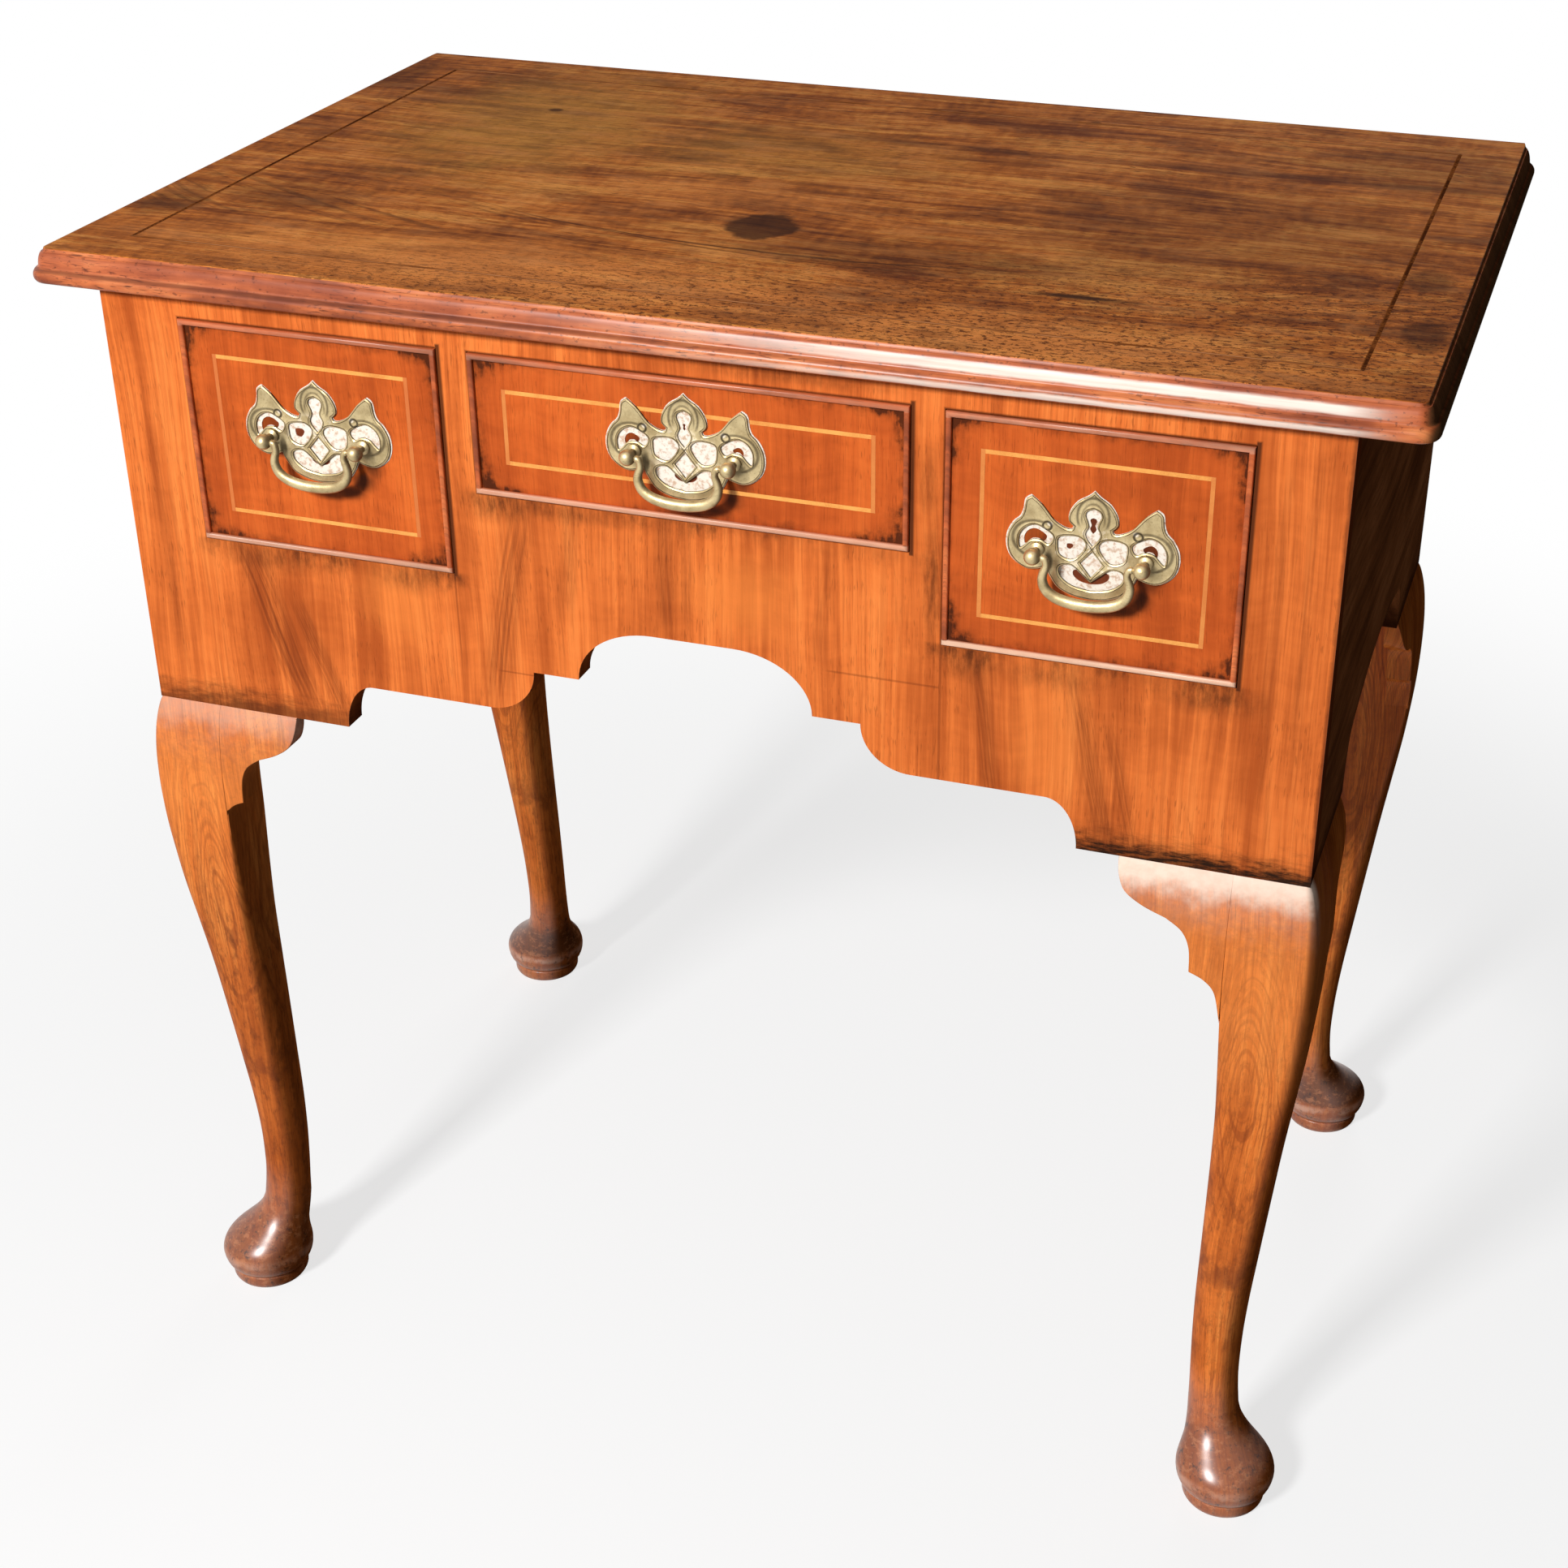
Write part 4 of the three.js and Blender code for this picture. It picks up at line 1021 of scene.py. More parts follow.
@dataclass
class Top:
    """The moulded top with the string let into it. Sizes are millimetres."""

    half_width: float = 389.0
    front: float = CASE_FRONT - 12.5
    back: float = CASE_FRONT + 480.0
    underside: float = TOP_BOTTOM
    surface: float = TOP_SURFACE
    corner_radius: float = 12.0
    back_radius: float = 9.0
    moulding_width: float = 7.0
    string_half_width: float = 346.0
    string_front: float = CASE_FRONT + 29.8
    string_back: float = CASE_FRONT + 441.0
    string_width: float = 2.4
    string_depth: float = 1.2
    edge_shares: tuple[Share, ...] = (
        (0.5, 0.0), (0.18, 0.04), (0.02, 0.13), (0.0, 0.22), (0.06, 0.31), (0.22, 0.39), (0.42, 0.44),
        (0.5, 0.5), (0.53, 0.58), (0.6, 0.7), (0.72, 0.81), (0.88, 0.885),
    )
    fillet: float = 1.1
    fillet_rise: float = 0.94
    arris: float = 0.35
    edge_zone: float = 9.0

    def outline(self, inset: float, height: float, steps: int = 16) -> list[Place]:
        """The top's outline from its back right corner round the front, moved in by an inset."""
        radius = self.corner_radius - inset
        half = self.half_width - inset
        front = self.front + inset
        back = self.back_radius
        turns = [math.pi / 2 * k / steps for k in range(steps + 1)]
        right = [
            (
                self.half_width - back + (back - inset) * math.sin(turn),
                self.back - back + back * math.cos(turn),
            )
            for turn in turns
        ]
        right += [
            (half - radius + radius * math.cos(turn), front + radius - radius * math.sin(turn))
            for turn in turns
        ]
        left = [(-x, y) for x, y in reversed(right)]
        return [(x, y, height) for x, y in right + left]

    def build(self, wood: Material, moulding: Material) -> None:
        """Makes the board with its moulded edge and the groove for the string."""
        bm = bmesh.new()
        thick = self.surface - self.underside
        rows = [
            self.outline(max(inset, 0.0) * self.moulding_width, self.underside + height * thick)
            for inset, height in through(self.edge_shares, 4)
        ]
        edge = self.fillet * self.moulding_width
        step = self.underside + self.fillet_rise * thick
        rows += [
            self.outline(edge - 1.0, step - 1.0),
            self.outline(edge - 0.3, step),
            self.outline(edge, self.surface - self.arris),
            self.outline(edge + self.arris, self.surface),
        ]
        draw_out(bm, rows)
        self.cut_groove(bm)
        flat = self.surface - 0.3
        for face in bm.faces:
            centre = face.calc_center_median() / MM
            aside = abs(centre.x) > self.half_width - self.edge_zone
            moulded = aside or centre.y < self.front + self.edge_zone
            face.material_index = 1 if moulded and centre.z <= flat else 0
        make_piece("top_with_moulded_edge", bm, "case", [wood, moulding], ["top_board"])

    def cut_groove(self, bm: BMesh) -> None:
        """Sinks a mitred groove for the string into the top's face."""
        inner_half = self.string_half_width - self.string_width
        planes = [
            ((side.value * half, 0, 0), (1, 0, 0))
            for side in Side for half in (self.string_half_width, inner_half)
        ]
        for place in (self.string_front, self.string_back):
            inward = self.string_width * (1 if place == self.string_front else -1)
            planes += [((0, place, 0), (0, 1, 0)), ((0, place + inward, 0), (0, 1, 0))]
        for place, normal in planes:
            top = [face for face in bm.faces if self.on_surface(face)]
            around = {item for face in top for item in (*face.verts, *face.edges, face)}
            cut = Vector(place) * MM
            bmesh.ops.bisect_plane(bm, geom=list(around), plane_co=cut, plane_no=normal, dist=1e-7)
        groove = [face for face in bm.faces if self.on_surface(face) and self.in_groove(face)]
        push_out(bm, groove, (0, 0, -self.string_depth * MM))
        bmesh.ops.delete(bm, geom=groove, context="FACES")

    def on_surface(self, face: BMFace) -> bool:
        """True for a face that lies in the top's flat surface."""
        return all(abs(vert.co.z / MM - self.surface) < 0.01 for vert in face.verts)

    def in_groove(self, face: BMFace) -> bool:
        """True for a face between the string's outer and inner rectangle."""
        centre = face.calc_center_median() / MM
        inner = self.string_width
        inside = abs(centre.x) < self.string_half_width and self.string_front < centre.y < self.string_back
        within = (
            abs(centre.x) < self.string_half_width - inner
            and self.string_front + inner < centre.y < self.string_back - inner
        )
        return inside and not within


@dataclass(frozen=True)
class TopString:
    """The top's string, darkened at the sides and half lost under the finish at the front and back."""

    name: str = "top_string"
    pale: Seen = (236, 160, 104)
    dark: Seen = (66, 32, 16)
    cover: Seen = (150, 84, 40)
    side_line: float = 345.0
    front_line: float = CASE_FRONT + 31.0
    back_line: float = CASE_FRONT + 440.0

    def material(self) -> Material:
        """The string's finish by its place."""
        shader = Shader.of_material(self.name)
        spot = shader.spot()
        worn = shader.noise(spot.x * 0.02, spot.y * 0.02, 0.0, 3.0, 0.6)
        fine = shader.noise(spot.x * 0.5, spot.y * 0.5, 0.0, 3.0)
        aside = abs(abs(spot.x) - self.side_line)
        along = abs(spot.y - self.front_line).lowest(abs(spot.y - self.back_line))
        side = aside.fall(0.6, 1.25) * (worn * 0.6 + fine * 0.4).rise(0.42, 0.56)
        ends = along.fall(0.3, 0.9) * worn.rise(0.35, 0.6)
        paint = Paint(shader.mix(fine, linear(self.cover), linear(self.cover, 0.6)))
        paint.lay(ends * 0.8, self.pale)
        paint.lay(side * 0.9, self.dark)
        return shader.finish(Base_Color=paint.colour, Roughness=fine * 0.2 + 0.4, Specular_IOR_Level=0.0)


# Legs and knee brackets


@dataclass
class Leg:
    """A cabriole leg on a pad foot. Sizes are millimetres, shares are of the square or of the height."""

    side: Side
    end: End
    lean: float = 0.0
    half_case: float = HALF_CASE
    depth: float = CASE_DEPTH
    top: float = CASE_BOTTOM
    square: float = 41.0
    post_inset_side: float = 18.0
    post_top: float = TOP_BOTTOM - 0.3
    post_sink: float = 5.0
    front_board: float = 16.0
    back_board: float = 14.0
    foot_inset: float = 16.0
    foot_radius: float = 30.7
    foot_height: float = 60.0
    bend_start: float = 91.0
    corner_steps: int = 14
    shares: tuple[tuple[float, ...], ...] = (
        (1, 0, 1, 0.12, 0.02, 0.06), (0.99, 0.052, 1, 0.18, 0.02, 0.14), (0.972, 0.11, 1, 0.24, 0.03, 0.24),
        (0.95, 0.156, 1, 0.28, 0.03, 0.34), (0.919, 0.193, 1, 0.32, 0.03, 0.42),
        (0.884, 0.21, 1, 0.35, 0.04, 0.47), (0.849, 0.212, 1, 0.38, 0.05, 0.5),
        (0.81, 0.2, 1, 0.41, 0.08, 0.52), (0.766, 0.168, 0.992, 0.44, 0.14, 0.54),
        (0.711, 0.115, 0.985, 0.48, 0.24, 0.57), (0.645, 0.03, 0.985, 0.55, 0.37, 0.61),
        (0.569, -0.066, 1.01, 0.64, 0.53, 0.68), (0.481, -0.158, 1.045, 0.75, 0.7, 0.77),
        (0.394, -0.246, 1.08, 0.86, 0.84, 0.87), (0.317, -0.322, 1.108, 0.95, 0.94, 0.95),
        (0.252, -0.366, 1.115, 1, 1, 1), (0.193, -0.375, 1.1, 1, 1, 1), (0.158, -0.352, 1.087, 1, 1, 1),
    )
    foot_shares: tuple[tuple[float, float, float], ...] = (
        (1, 0.51, 0.94), (0.867, 0.553, 0.81), (0.75, 0.638, 0.6), (0.65, 0.75, 0.36), (0.56, 0.866, 0.165),
        (0.475, 0.951, 0.045), (0.385, 0.997, 0), (0.3, 0.985, 0), (0.225, 0.935, 0), (0.17, 0.855, 0),
        (0.15, 0.815, 0), (0.125, 0.834, 0), (0.045, 0.834, 0), (0, 0.79, 0),
    )

    def ring(self, low: float, high: float, rounding: Sequence[float], z: float) -> list[Place]:
        """A square with rounded corners, in insets from the case's two outer faces."""
        half = (high - low) / 2
        outer, beside, inner = (min(max(share, 0.01), 1.0) * half for share in rounding)
        corners = (
            (low, low, outer, 1.0), (high, low, beside, 1.5),
            (high, high, inner, 0.0), (low, high, beside, 0.5),
        )
        ring = []
        for u, v, radius, start in corners:
            centre_u = u + radius if u == low else u - radius
            centre_v = v + radius if v == low else v - radius
            for k in range(self.corner_steps + 1):
                turn = math.pi * (start + k / self.corner_steps / 2)
                place_u, place_v = centre_u + radius * math.cos(turn), centre_v + radius * math.sin(turn)
                ring.append(self.placed(place_u, place_v, z))
        return ring

    def placed(self, u: float, v: float, z: float) -> Place:
        """A place on the table from two insets and a height, with the leg's bend."""
        share = min(max((self.top - z - self.bend_start) / (self.top - self.bend_start), 0.0), 1.0)
        bend = self.lean * share * share * (3 - 2 * share)
        y = v if self.end is End.FRONT else self.depth - v
        return self.side.value * (self.half_case - u) + bend, y + CASE_FRONT, z

    def build(self, wood: Material) -> None:
        """Makes the leg with its post and its foot."""
        bm = bmesh.new()
        rows = [
            self.ring(-swell * self.square, inner * self.square, rounding, height * self.top)
            for height, swell, inner, *rounding in through(self.shares, 5)
        ]
        swell, inner = self.shares[-1][1:3]
        ankle = (inner - swell) / 2 * self.square
        for height, size, drift in through(self.foot_shares, 4):
            centre = self.foot_inset + drift * (ankle - self.foot_inset)
            reach = size * self.foot_radius
            rows.append(self.ring(centre - reach, centre + reach, (1, 1, 1), height * self.foot_height))
        draw_out(bm, rows)
        board = self.front_board if self.end is End.FRONT else self.back_board
        first = self.placed(self.post_inset_side, board, 0)
        last = self.placed(self.square, self.square, 0)
        low = (min(first[0], last[0]), min(first[1], last[1]), self.top - self.post_sink)
        high = (max(first[0], last[0]), max(first[1], last[1]), self.post_top)
        if self.lean:
            shift = first[0] - self.side.value * (self.half_case - self.post_inset_side)
            low, high = (low[0] - shift, *low[1:]), (high[0] - shift, *high[1:])
        add_block(bm, low, high)
        name = f"leg_{self.end.value}_{self.side.name.lower()}"
        make_piece(f"cabriole_{name}", bm, "case", [wood], [name], 50.0)


@dataclass
class KneeBracket:
    """The scrolled ear beside a knee, which carries on the knee's swell. Sizes are millimetres."""

    side: Side
    end: End
    on_front: bool
    reach: float = 104.0
    drop: float = 91.0
    back: float = 8.0
    leg: Leg = field(default_factory=lambda: Leg(Side.RIGHT, End.FRONT))
    lobe: tuple[Share, ...] = ((1, 0), (0.99, 0.1), (0.95, 0.2), (0.85, 0.275), (0.72, 0.33))
    hollow: tuple[Share, ...] = ((0.72, 0.33), (0.63, 0.4), (0.585, 0.51), (0.575, 0.67))
    tail: tuple[Share, ...] = ((0.575, 0.67), (0.49, 0.715), (0.43, 0.8), (0.394, 1))
    slice_height: float = 4.0
    edge_round: float = 0.7
    sharp: float = 50.0

    def swell(self, z: float) -> float:
        """How far the knee stands out at a height."""
        rows = through([row[:2] for row in self.leg.shares], 5)
        share = z / self.leg.top
        for (high, near), (low, far) in zip(rows, rows[1:]):
            if low <= share <= high:
                part = (share - low) / (high - low)
                return (far + (near - far) * part) * self.leg.square
        return 0.0

    def placed(self, reach: float, v: float, z: float) -> Vector:
        """A place on the table, from the reach along the case, the inset and the height."""
        u, w = (reach, v) if self.on_front else (v, reach)
        y = w if self.end is End.FRONT else self.leg.depth - w
        return Vector((self.side.value * (self.leg.half_case - u), y + CASE_FRONT, z)) * MM

    def build(self, wood: Material) -> None:
        """Cuts the outline, slices it, and pushes its face out along the knee's swell."""
        top = self.leg.top
        square = self.leg.square
        edge = [(square, top)]
        for part in (self.lobe, self.hollow, self.tail):
            points = [(share * self.reach, top - fall * self.drop) for share, fall in through(part, 6)]
            edge += [point for point in points if point[0] > square and point != edge[-1]]
        edge.append((square, top - self.drop))
        bm = bmesh.new()
        verts = [bm.verts.new((reach, self.back, z)) for reach, z in edge]
        push_out(bm, [bm.faces.new(verts)], (0, -2 * self.back, 0))
        z = top - self.slice_height
        while z > top - self.drop:
            everything = [*bm.verts, *bm.edges, *bm.faces]
            bmesh.ops.bisect_plane(bm, geom=everything, plane_co=(0, 0, z), plane_no=(0, 0, 1), dist=1e-5)
            z -= self.slice_height
        for vert in bm.verts:
            if vert.co.y < 0:
                vert.co.y = -self.swell(vert.co.z)
        arris = [
            e for e in bm.edges
            if all(v.co.y < self.back / 2 for v in e.verts)
            and e.calc_face_angle(0.0) > math.radians(self.sharp)
            and min(v.co.x for v in e.verts) > square and max(v.co.z for v in e.verts) < top
        ]
        bmesh.ops.bevel(
            bm, geom=arris, offset=self.edge_round, segments=2, profile=0.5, affect="EDGES", material=-1,
        )
        for vert in bm.verts:
            vert.co = self.placed(*vert.co)
        face = "front" if self.on_front else f"side_{self.end.value}"
        name = f"knee_bracket_{face}_{self.side.name.lower()}"
        make_piece(f"scrolled_{name}", bm, "case", [wood], [name], 40.0)


# Drawers and handles


@dataclass
class Cockbead:
    """The rounded bead round a drawer front. Sizes are millimetres."""

    drawer: str
    width: float = 3.2
    proud: float = 2.5
    depth: float = 6.7
    steps: int = 10

    def build(self, wood: Material) -> None:
        """Makes the mitred bead round the drawer's front."""
        box = Frame.of_node(f"{self.drawer}_cockbead")
        nose = self.width / 2
        profile = [(0.0, self.depth)]
        for k in range(self.steps + 1):
            turn = math.pi * k / self.steps
            profile.append((nose - nose * math.cos(turn), nose - self.proud - nose * math.sin(turn)))
        profile.append((self.width, self.depth))
        bm = bmesh.new()
        rows = []
        for inset, depth in (*profile, profile[0]):
            left, right = box.left + inset, box.right - inset
            bottom, top = box.bottom + inset, box.top - inset
            y = CASE_FRONT + depth
            rows.append([(left, y, bottom), (right, y, bottom), (right, y, top), (left, y, top)])
        draw_out(bm, rows, capped=False)
        name = f"{self.drawer}_cockbead"
        make_piece(f"{name}_rounded", bm, self.drawer, [wood], [name], 40.0)


@dataclass
class Handle:
    """A pierced plate, two posts and a bail. Sizes are millimetres, shares are of half the plate's width."""

    drawer: str
    bail_body: str
    plate_width: float = 89.6
    plate_thickness: float = 1.8
    post_spacing: float = 57.0
    post_reach: float = 12.0
    ball_radius: float = 4.5
    neck_radius: float = 2.2
    collar_radius: float = 3.9
    collar_thickness: float = 1.6
    shank_radius: float = 2.0
    nut_radius: float = 5.5
    nut_thickness: float = 3.0
    board: float = 19.0
    bail_drop: float = 23.6
    pin_radius: float = 1.5
    grip_radius: float = 2.6
    grip_flare: float = 1.22
    pin_reach: float = 1.6
    bevel_width: float = 0.7
    bevel_height: float = 0.5
    line_width: float = 0.38
    line_depth: float = 0.12
    halo: float = 1.018
    residue_front: float = -0.4
    residue_back: float = -0.02
    gap: float = 0.05
    collar_gap: float = 0.15
    ball_steps: int = 14
    turning_steps: int = 32
    grip_start: float = 0.45
    bail_thin: float = 0.72
    openings: tuple[float, ...] = (1.05, 1.02, 1.06, 1.07, 1.07, 1.05, 1.05)
    bare_wood: tuple[float, ...] = (0.45, 0.0, 0.6, 0.0, 0.25, 0.45, 0.7)
    dome: tuple[Share, ...] = (
        (0, 0.775), (0.07, 0.71), (0.19, 0.63), (0.27, 0.51), (0.285, 0.4), (0.225, 0.335),
    )
    horn: tuple[Share, ...] = (
        (0.225, 0.335), (0.25, 0.29), (0.34, 0.305), (0.46, 0.38), (0.6, 0.545), (0.72, 0.64),
    )
    wing: tuple[Share, ...] = (
        (0.72, 0.64), (0.79, 0.585), (0.81, 0.46), (0.845, 0.37), (0.92, 0.295), (0.985, 0.17), (1, 0.03),
        (0.965, -0.1), (0.88, -0.2), (0.76, -0.26), (0.64, -0.25), (0.53, -0.21),
    )
    foot: tuple[Share, ...] = ((0.53, -0.21), (0.485, -0.31), (0.38, -0.45), (0.2, -0.53), (0, -0.555))
    key: tuple[Share, ...] = (
        (0, 0.56), (0.068, 0.53), (0.088, 0.475), (0.062, 0.41), (0.05, 0.345), (0.082, 0.27), (0.06, 0.2),
        (0, 0.125),
    )
    diamond: tuple[Share, ...] = ((0, 0.045), (0.13, -0.11), (0, -0.27))
    crescent: tuple[Share, ...] = (
        (0, -0.335), (0.1, -0.255), (0.21, -0.165), (0.31, -0.165), (0.36, -0.215), (0.33, -0.31),
        (0.2, -0.4), (0, -0.435),
    )
    window: tuple[Share, ...] = (
        (0.09, 0.105), (0.175, 0.2), (0.37, 0.18), (0.395, 0.08), (0.36, -0.035), (0.215, -0.065),
    )
    lobe: tuple[Share, ...] = (
        (0.47, 0.17), (0.56, 0.245), (0.68, 0.285), (0.79, 0.235), (0.85, 0.13), (0.84, 0.0), (0.79, 0.03),
        (0.72, 0.1), (0.61, 0.115), (0.52, 0.075),
    )
    bail: tuple[Share, ...] = (
        (0.84, 0), (0.775, 0.02), (0.745, 0.1), (0.745, 0.21), (0.785, 0.35), (0.8, 0.52), (0.73, 0.73),
        (0.55, 0.89), (0.29, 0.975), (0, 1),
    )

    def __post_init__(self) -> None:
        """Finds the handle's middle from the two posts' nodes."""
        low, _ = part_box(f"{self.drawer}_post_left")
        _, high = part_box(f"{self.drawer}_post_right")
        self.x = (low[0] + high[0]) / 2 / MM
        self.z = (low[2] + high[2]) / 2 / MM

    def mirrored_loop(self, half: Sequence[Sequence[float]]) -> list[Share]:
        """A right half drawn from the top down, closed with its mirror image."""
        right = [(u, v) for u, v in half]
        left = [(-u, v) for u, v in reversed(right) if u > 1e-6]
        return right + left

    def outline(self) -> list[Share]:
        """The plate's outline in shares."""
        edge: list[Sequence[float]] = []
        for part in (self.dome, self.horn, self.wing, self.foot):
            edge += through(part, 4)[(1 if edge else 0):]
        return self.mirrored_loop(edge)

    def closed(self, loop: Sequence[Share]) -> list[Share]:
        """A smooth closed loop through points."""
        count = len(loop)
        around = through([loop[(k - 1) % count] for k in range(count + 3)], 4)
        return [(u, v) for u, v in around[4:4 + count * 4]]

    def holes(self, sizes: Sequence[float]) -> list[list[Share]]:
        """The openings' outlines, each scaled about its own middle.

        Args:
            sizes: The scale of the key hole, the diamond, the crescent, the right and left windows, and the
                right and left lobe holes. 0 leaves one out.

        Returns:
            One loop of shares for each opening that is left.
        """
        window = self.closed(self.window)
        lobe = self.closed(self.lobe)
        loops = [
            self.mirrored_loop(through(self.key, 3)),
            self.mirrored_loop(self.diamond),
            self.mirrored_loop(through(self.crescent, 3)),
            window,
            [(-u, v) for u, v in window],
            lobe,
            [(-u, v) for u, v in lobe],
        ]
        scaled = []
        for loop, size in zip(loops, sizes):
            if size <= 0:
                continue
            at_u, at_v = (sum(values) / len(loop) for values in zip(*loop))
            scaled.append([(at_u + (u - at_u) * size, at_v + (v - at_v) * size) for u, v in loop])
        return scaled

    def sheet(self, loops: Sequence[Sequence[Share]], front: float, back: float) -> BMesh:
        """A flat sheet with openings, between two depths in front of the drawer."""
        bm = bmesh.new()
        unit = self.plate_width / 2
        edges = []
        for loop in loops:
            verts = [
                bm.verts.new(Vector((self.x + u * unit, CASE_FRONT + front, self.z + v * unit)) * MM)
                for u, v in loop
            ]
            edges += [bm.edges.new((verts[k - 1], verts[k])) for k in range(len(verts))]
        bmesh.ops.triangle_fill(bm, edges=edges, use_beauty=True, normal=(0, -1, 0))
        push_out(bm, list(bm.faces), (0, (back - front) * MM, 0), keep=True)
        bmesh.ops.recalc_face_normals(bm, faces=bm.faces)
        return bm

    def build_plate(self, brass: Material, dull: Material, residue: Material) -> None:
        """Makes the pierced plate, with a bevel and a dark line inside it, and the old polish round it.

        Args:
            brass: The finish of its face and bevels.
            dull: The finish of its walls and of the line, dirty brass that also stands for painted shade on
                them.
            residue: The finish of the old polish in its openings.
        """
        wall = -self.plate_thickness - self.gap + self.bevel_height
        bm = self.sheet([self.outline(), *self.holes(self.openings)], wall, -self.gap)
        bm.normal_update()
        face = [f for f in bm.faces if f.normal.y < -0.9]
        for f in bm.faces:
            f.material_index = 0 if f.normal.y < -0.9 else 1
        even = {"use_boundary": True, "use_even_offset": True}
        width, rise = self.bevel_width * MM, self.bevel_height * MM
        bmesh.ops.inset_region(bm, faces=face, thickness=width, depth=rise, **even)
        width, rise = self.line_width * MM, -self.line_depth * MM
        line = bmesh.ops.inset_region(bm, faces=face, thickness=width, depth=rise, **even)["faces"]
        for f in line:
            f.material_index = 1
        name = f"{self.drawer}_backplate"
        make_piece(f"{self.drawer}_pierced_plate", bm, self.drawer, [brass, dull], [name], 25.0)
        edge = [(u * self.halo, v * self.halo) for u, v in self.outline()]
        loops = [edge, *self.holes(self.bare_wood)]
        old_polish = self.sheet(loops, self.residue_front, self.residue_back)
        make_piece(f"{self.drawer}_old_polish", old_polish, self.drawer, [residue])

    def build_posts(self, brass: Material) -> None:
        """Turns the two ball-headed posts with their collars, shanks and nuts."""
        neck = math.asin(self.neck_radius / self.ball_radius)
        profile = []
        for k in range(self.ball_steps + 1):
            turn = (math.pi - neck) * k / self.ball_steps
            depth = -self.post_reach - self.ball_radius * math.cos(turn)
            profile.append((self.ball_radius * math.sin(turn), depth))
        collar_back = -self.plate_thickness - self.collar_gap
        collar = collar_back - self.collar_thickness
        nut = self.board + self.gap
        profile += [
            (self.neck_radius, collar - self.collar_thickness / 2),
            (self.collar_radius * 0.8, collar - 0.3),
            (self.collar_radius, collar + 0.3),
            (self.collar_radius, collar_back),
            (self.shank_radius, collar_back),
            (self.shank_radius, nut),
            (self.nut_radius, nut),
            (self.nut_radius, nut + self.nut_thickness),
            (0.0, nut + self.nut_thickness),
        ]
        for side in Side:
            centre = self.x + side.value * self.post_spacing / 2
            bm = bmesh.new()
            verts = [
                bm.verts.new(Vector((centre + radius, CASE_FRONT + y, self.z)) * MM) for radius, y in profile
            ]
            edges = [bm.edges.new(pair) for pair in zip(verts, verts[1:])]
            bmesh.ops.spin(
                bm, geom=[*verts, *edges], cent=Vector((centre, 0, self.z)) * MM, axis=(0, 1, 0),
                angle=math.tau, steps=self.turning_steps, use_merge=True,
            )
            bmesh.ops.remove_doubles(bm, verts=bm.verts, dist=1e-6)
            name = f"{self.drawer}_post_{side.name.lower()}"
            make_piece(f"{name}_turned", bm, self.drawer, [brass], [name], 45.0)

    def build_bail(self, brass: Material) -> None:
        """Bends the bail from one ball to the other, thickest in the grip."""
        half = self.post_spacing / 2
        right = [(u * half, -v * self.bail_drop) for u, v in self.bail]
        path = through(right + [(-u, v) for u, v in reversed(right[:-1])], 5)
        count = len(path)
        rows = [self.bail_ring((half + self.pin_reach, 0.0), (-1.0, 0.0), self.pin_radius)]
        for k, (x, z) in enumerate(path):
            grip = math.sin(math.pi * k / (count - 1))
            swell = max(0.0, (grip - self.grip_start) / (1 - self.grip_start))
            radius = (self.bail_thin + (1 - self.bail_thin) * swell) * self.grip_radius
            if k in (0, count - 1):
                radius, tangent = self.pin_radius, (-1.0, 0.0)
            else:
                run = (path[k + 1][0] - path[k - 1][0], path[k + 1][1] - path[k - 1][1])
                length = math.hypot(*run)
                tangent = (run[0] / length, run[1] / length)
            flare = 1 + (self.grip_flare - 1) * swell
            rows.append(self.bail_ring((x, z), tangent, radius, flare))
        rows.append(self.bail_ring((-half - self.pin_reach, 0.0), (-1.0, 0.0), self.pin_radius))
        bm = bmesh.new()
        draw_out(bm, rows)
        name = f"{self.drawer}_bail"
        make_piece(f"{name}_cast", bm, self.bail_body, [brass], [name], 60.0)

    def bail_ring(
        self, place: Share, tangent: Share, radius: float, flare: float = 1.0, sides: int = 18,
    ) -> list[Place]:
        """One ring of the bail, square to its centre line and wider than deep by its flare."""
        ring = []
        for k in range(sides):
            turn = math.tau * k / sides
            across = radius * flare * math.cos(turn)
            x = self.x + place[0] - tangent[1] * across
            z = self.z + place[1] + tangent[0] * across
            ring.append((x, CASE_FRONT - self.post_reach + radius * math.sin(turn), z))
        return ring


# The studio


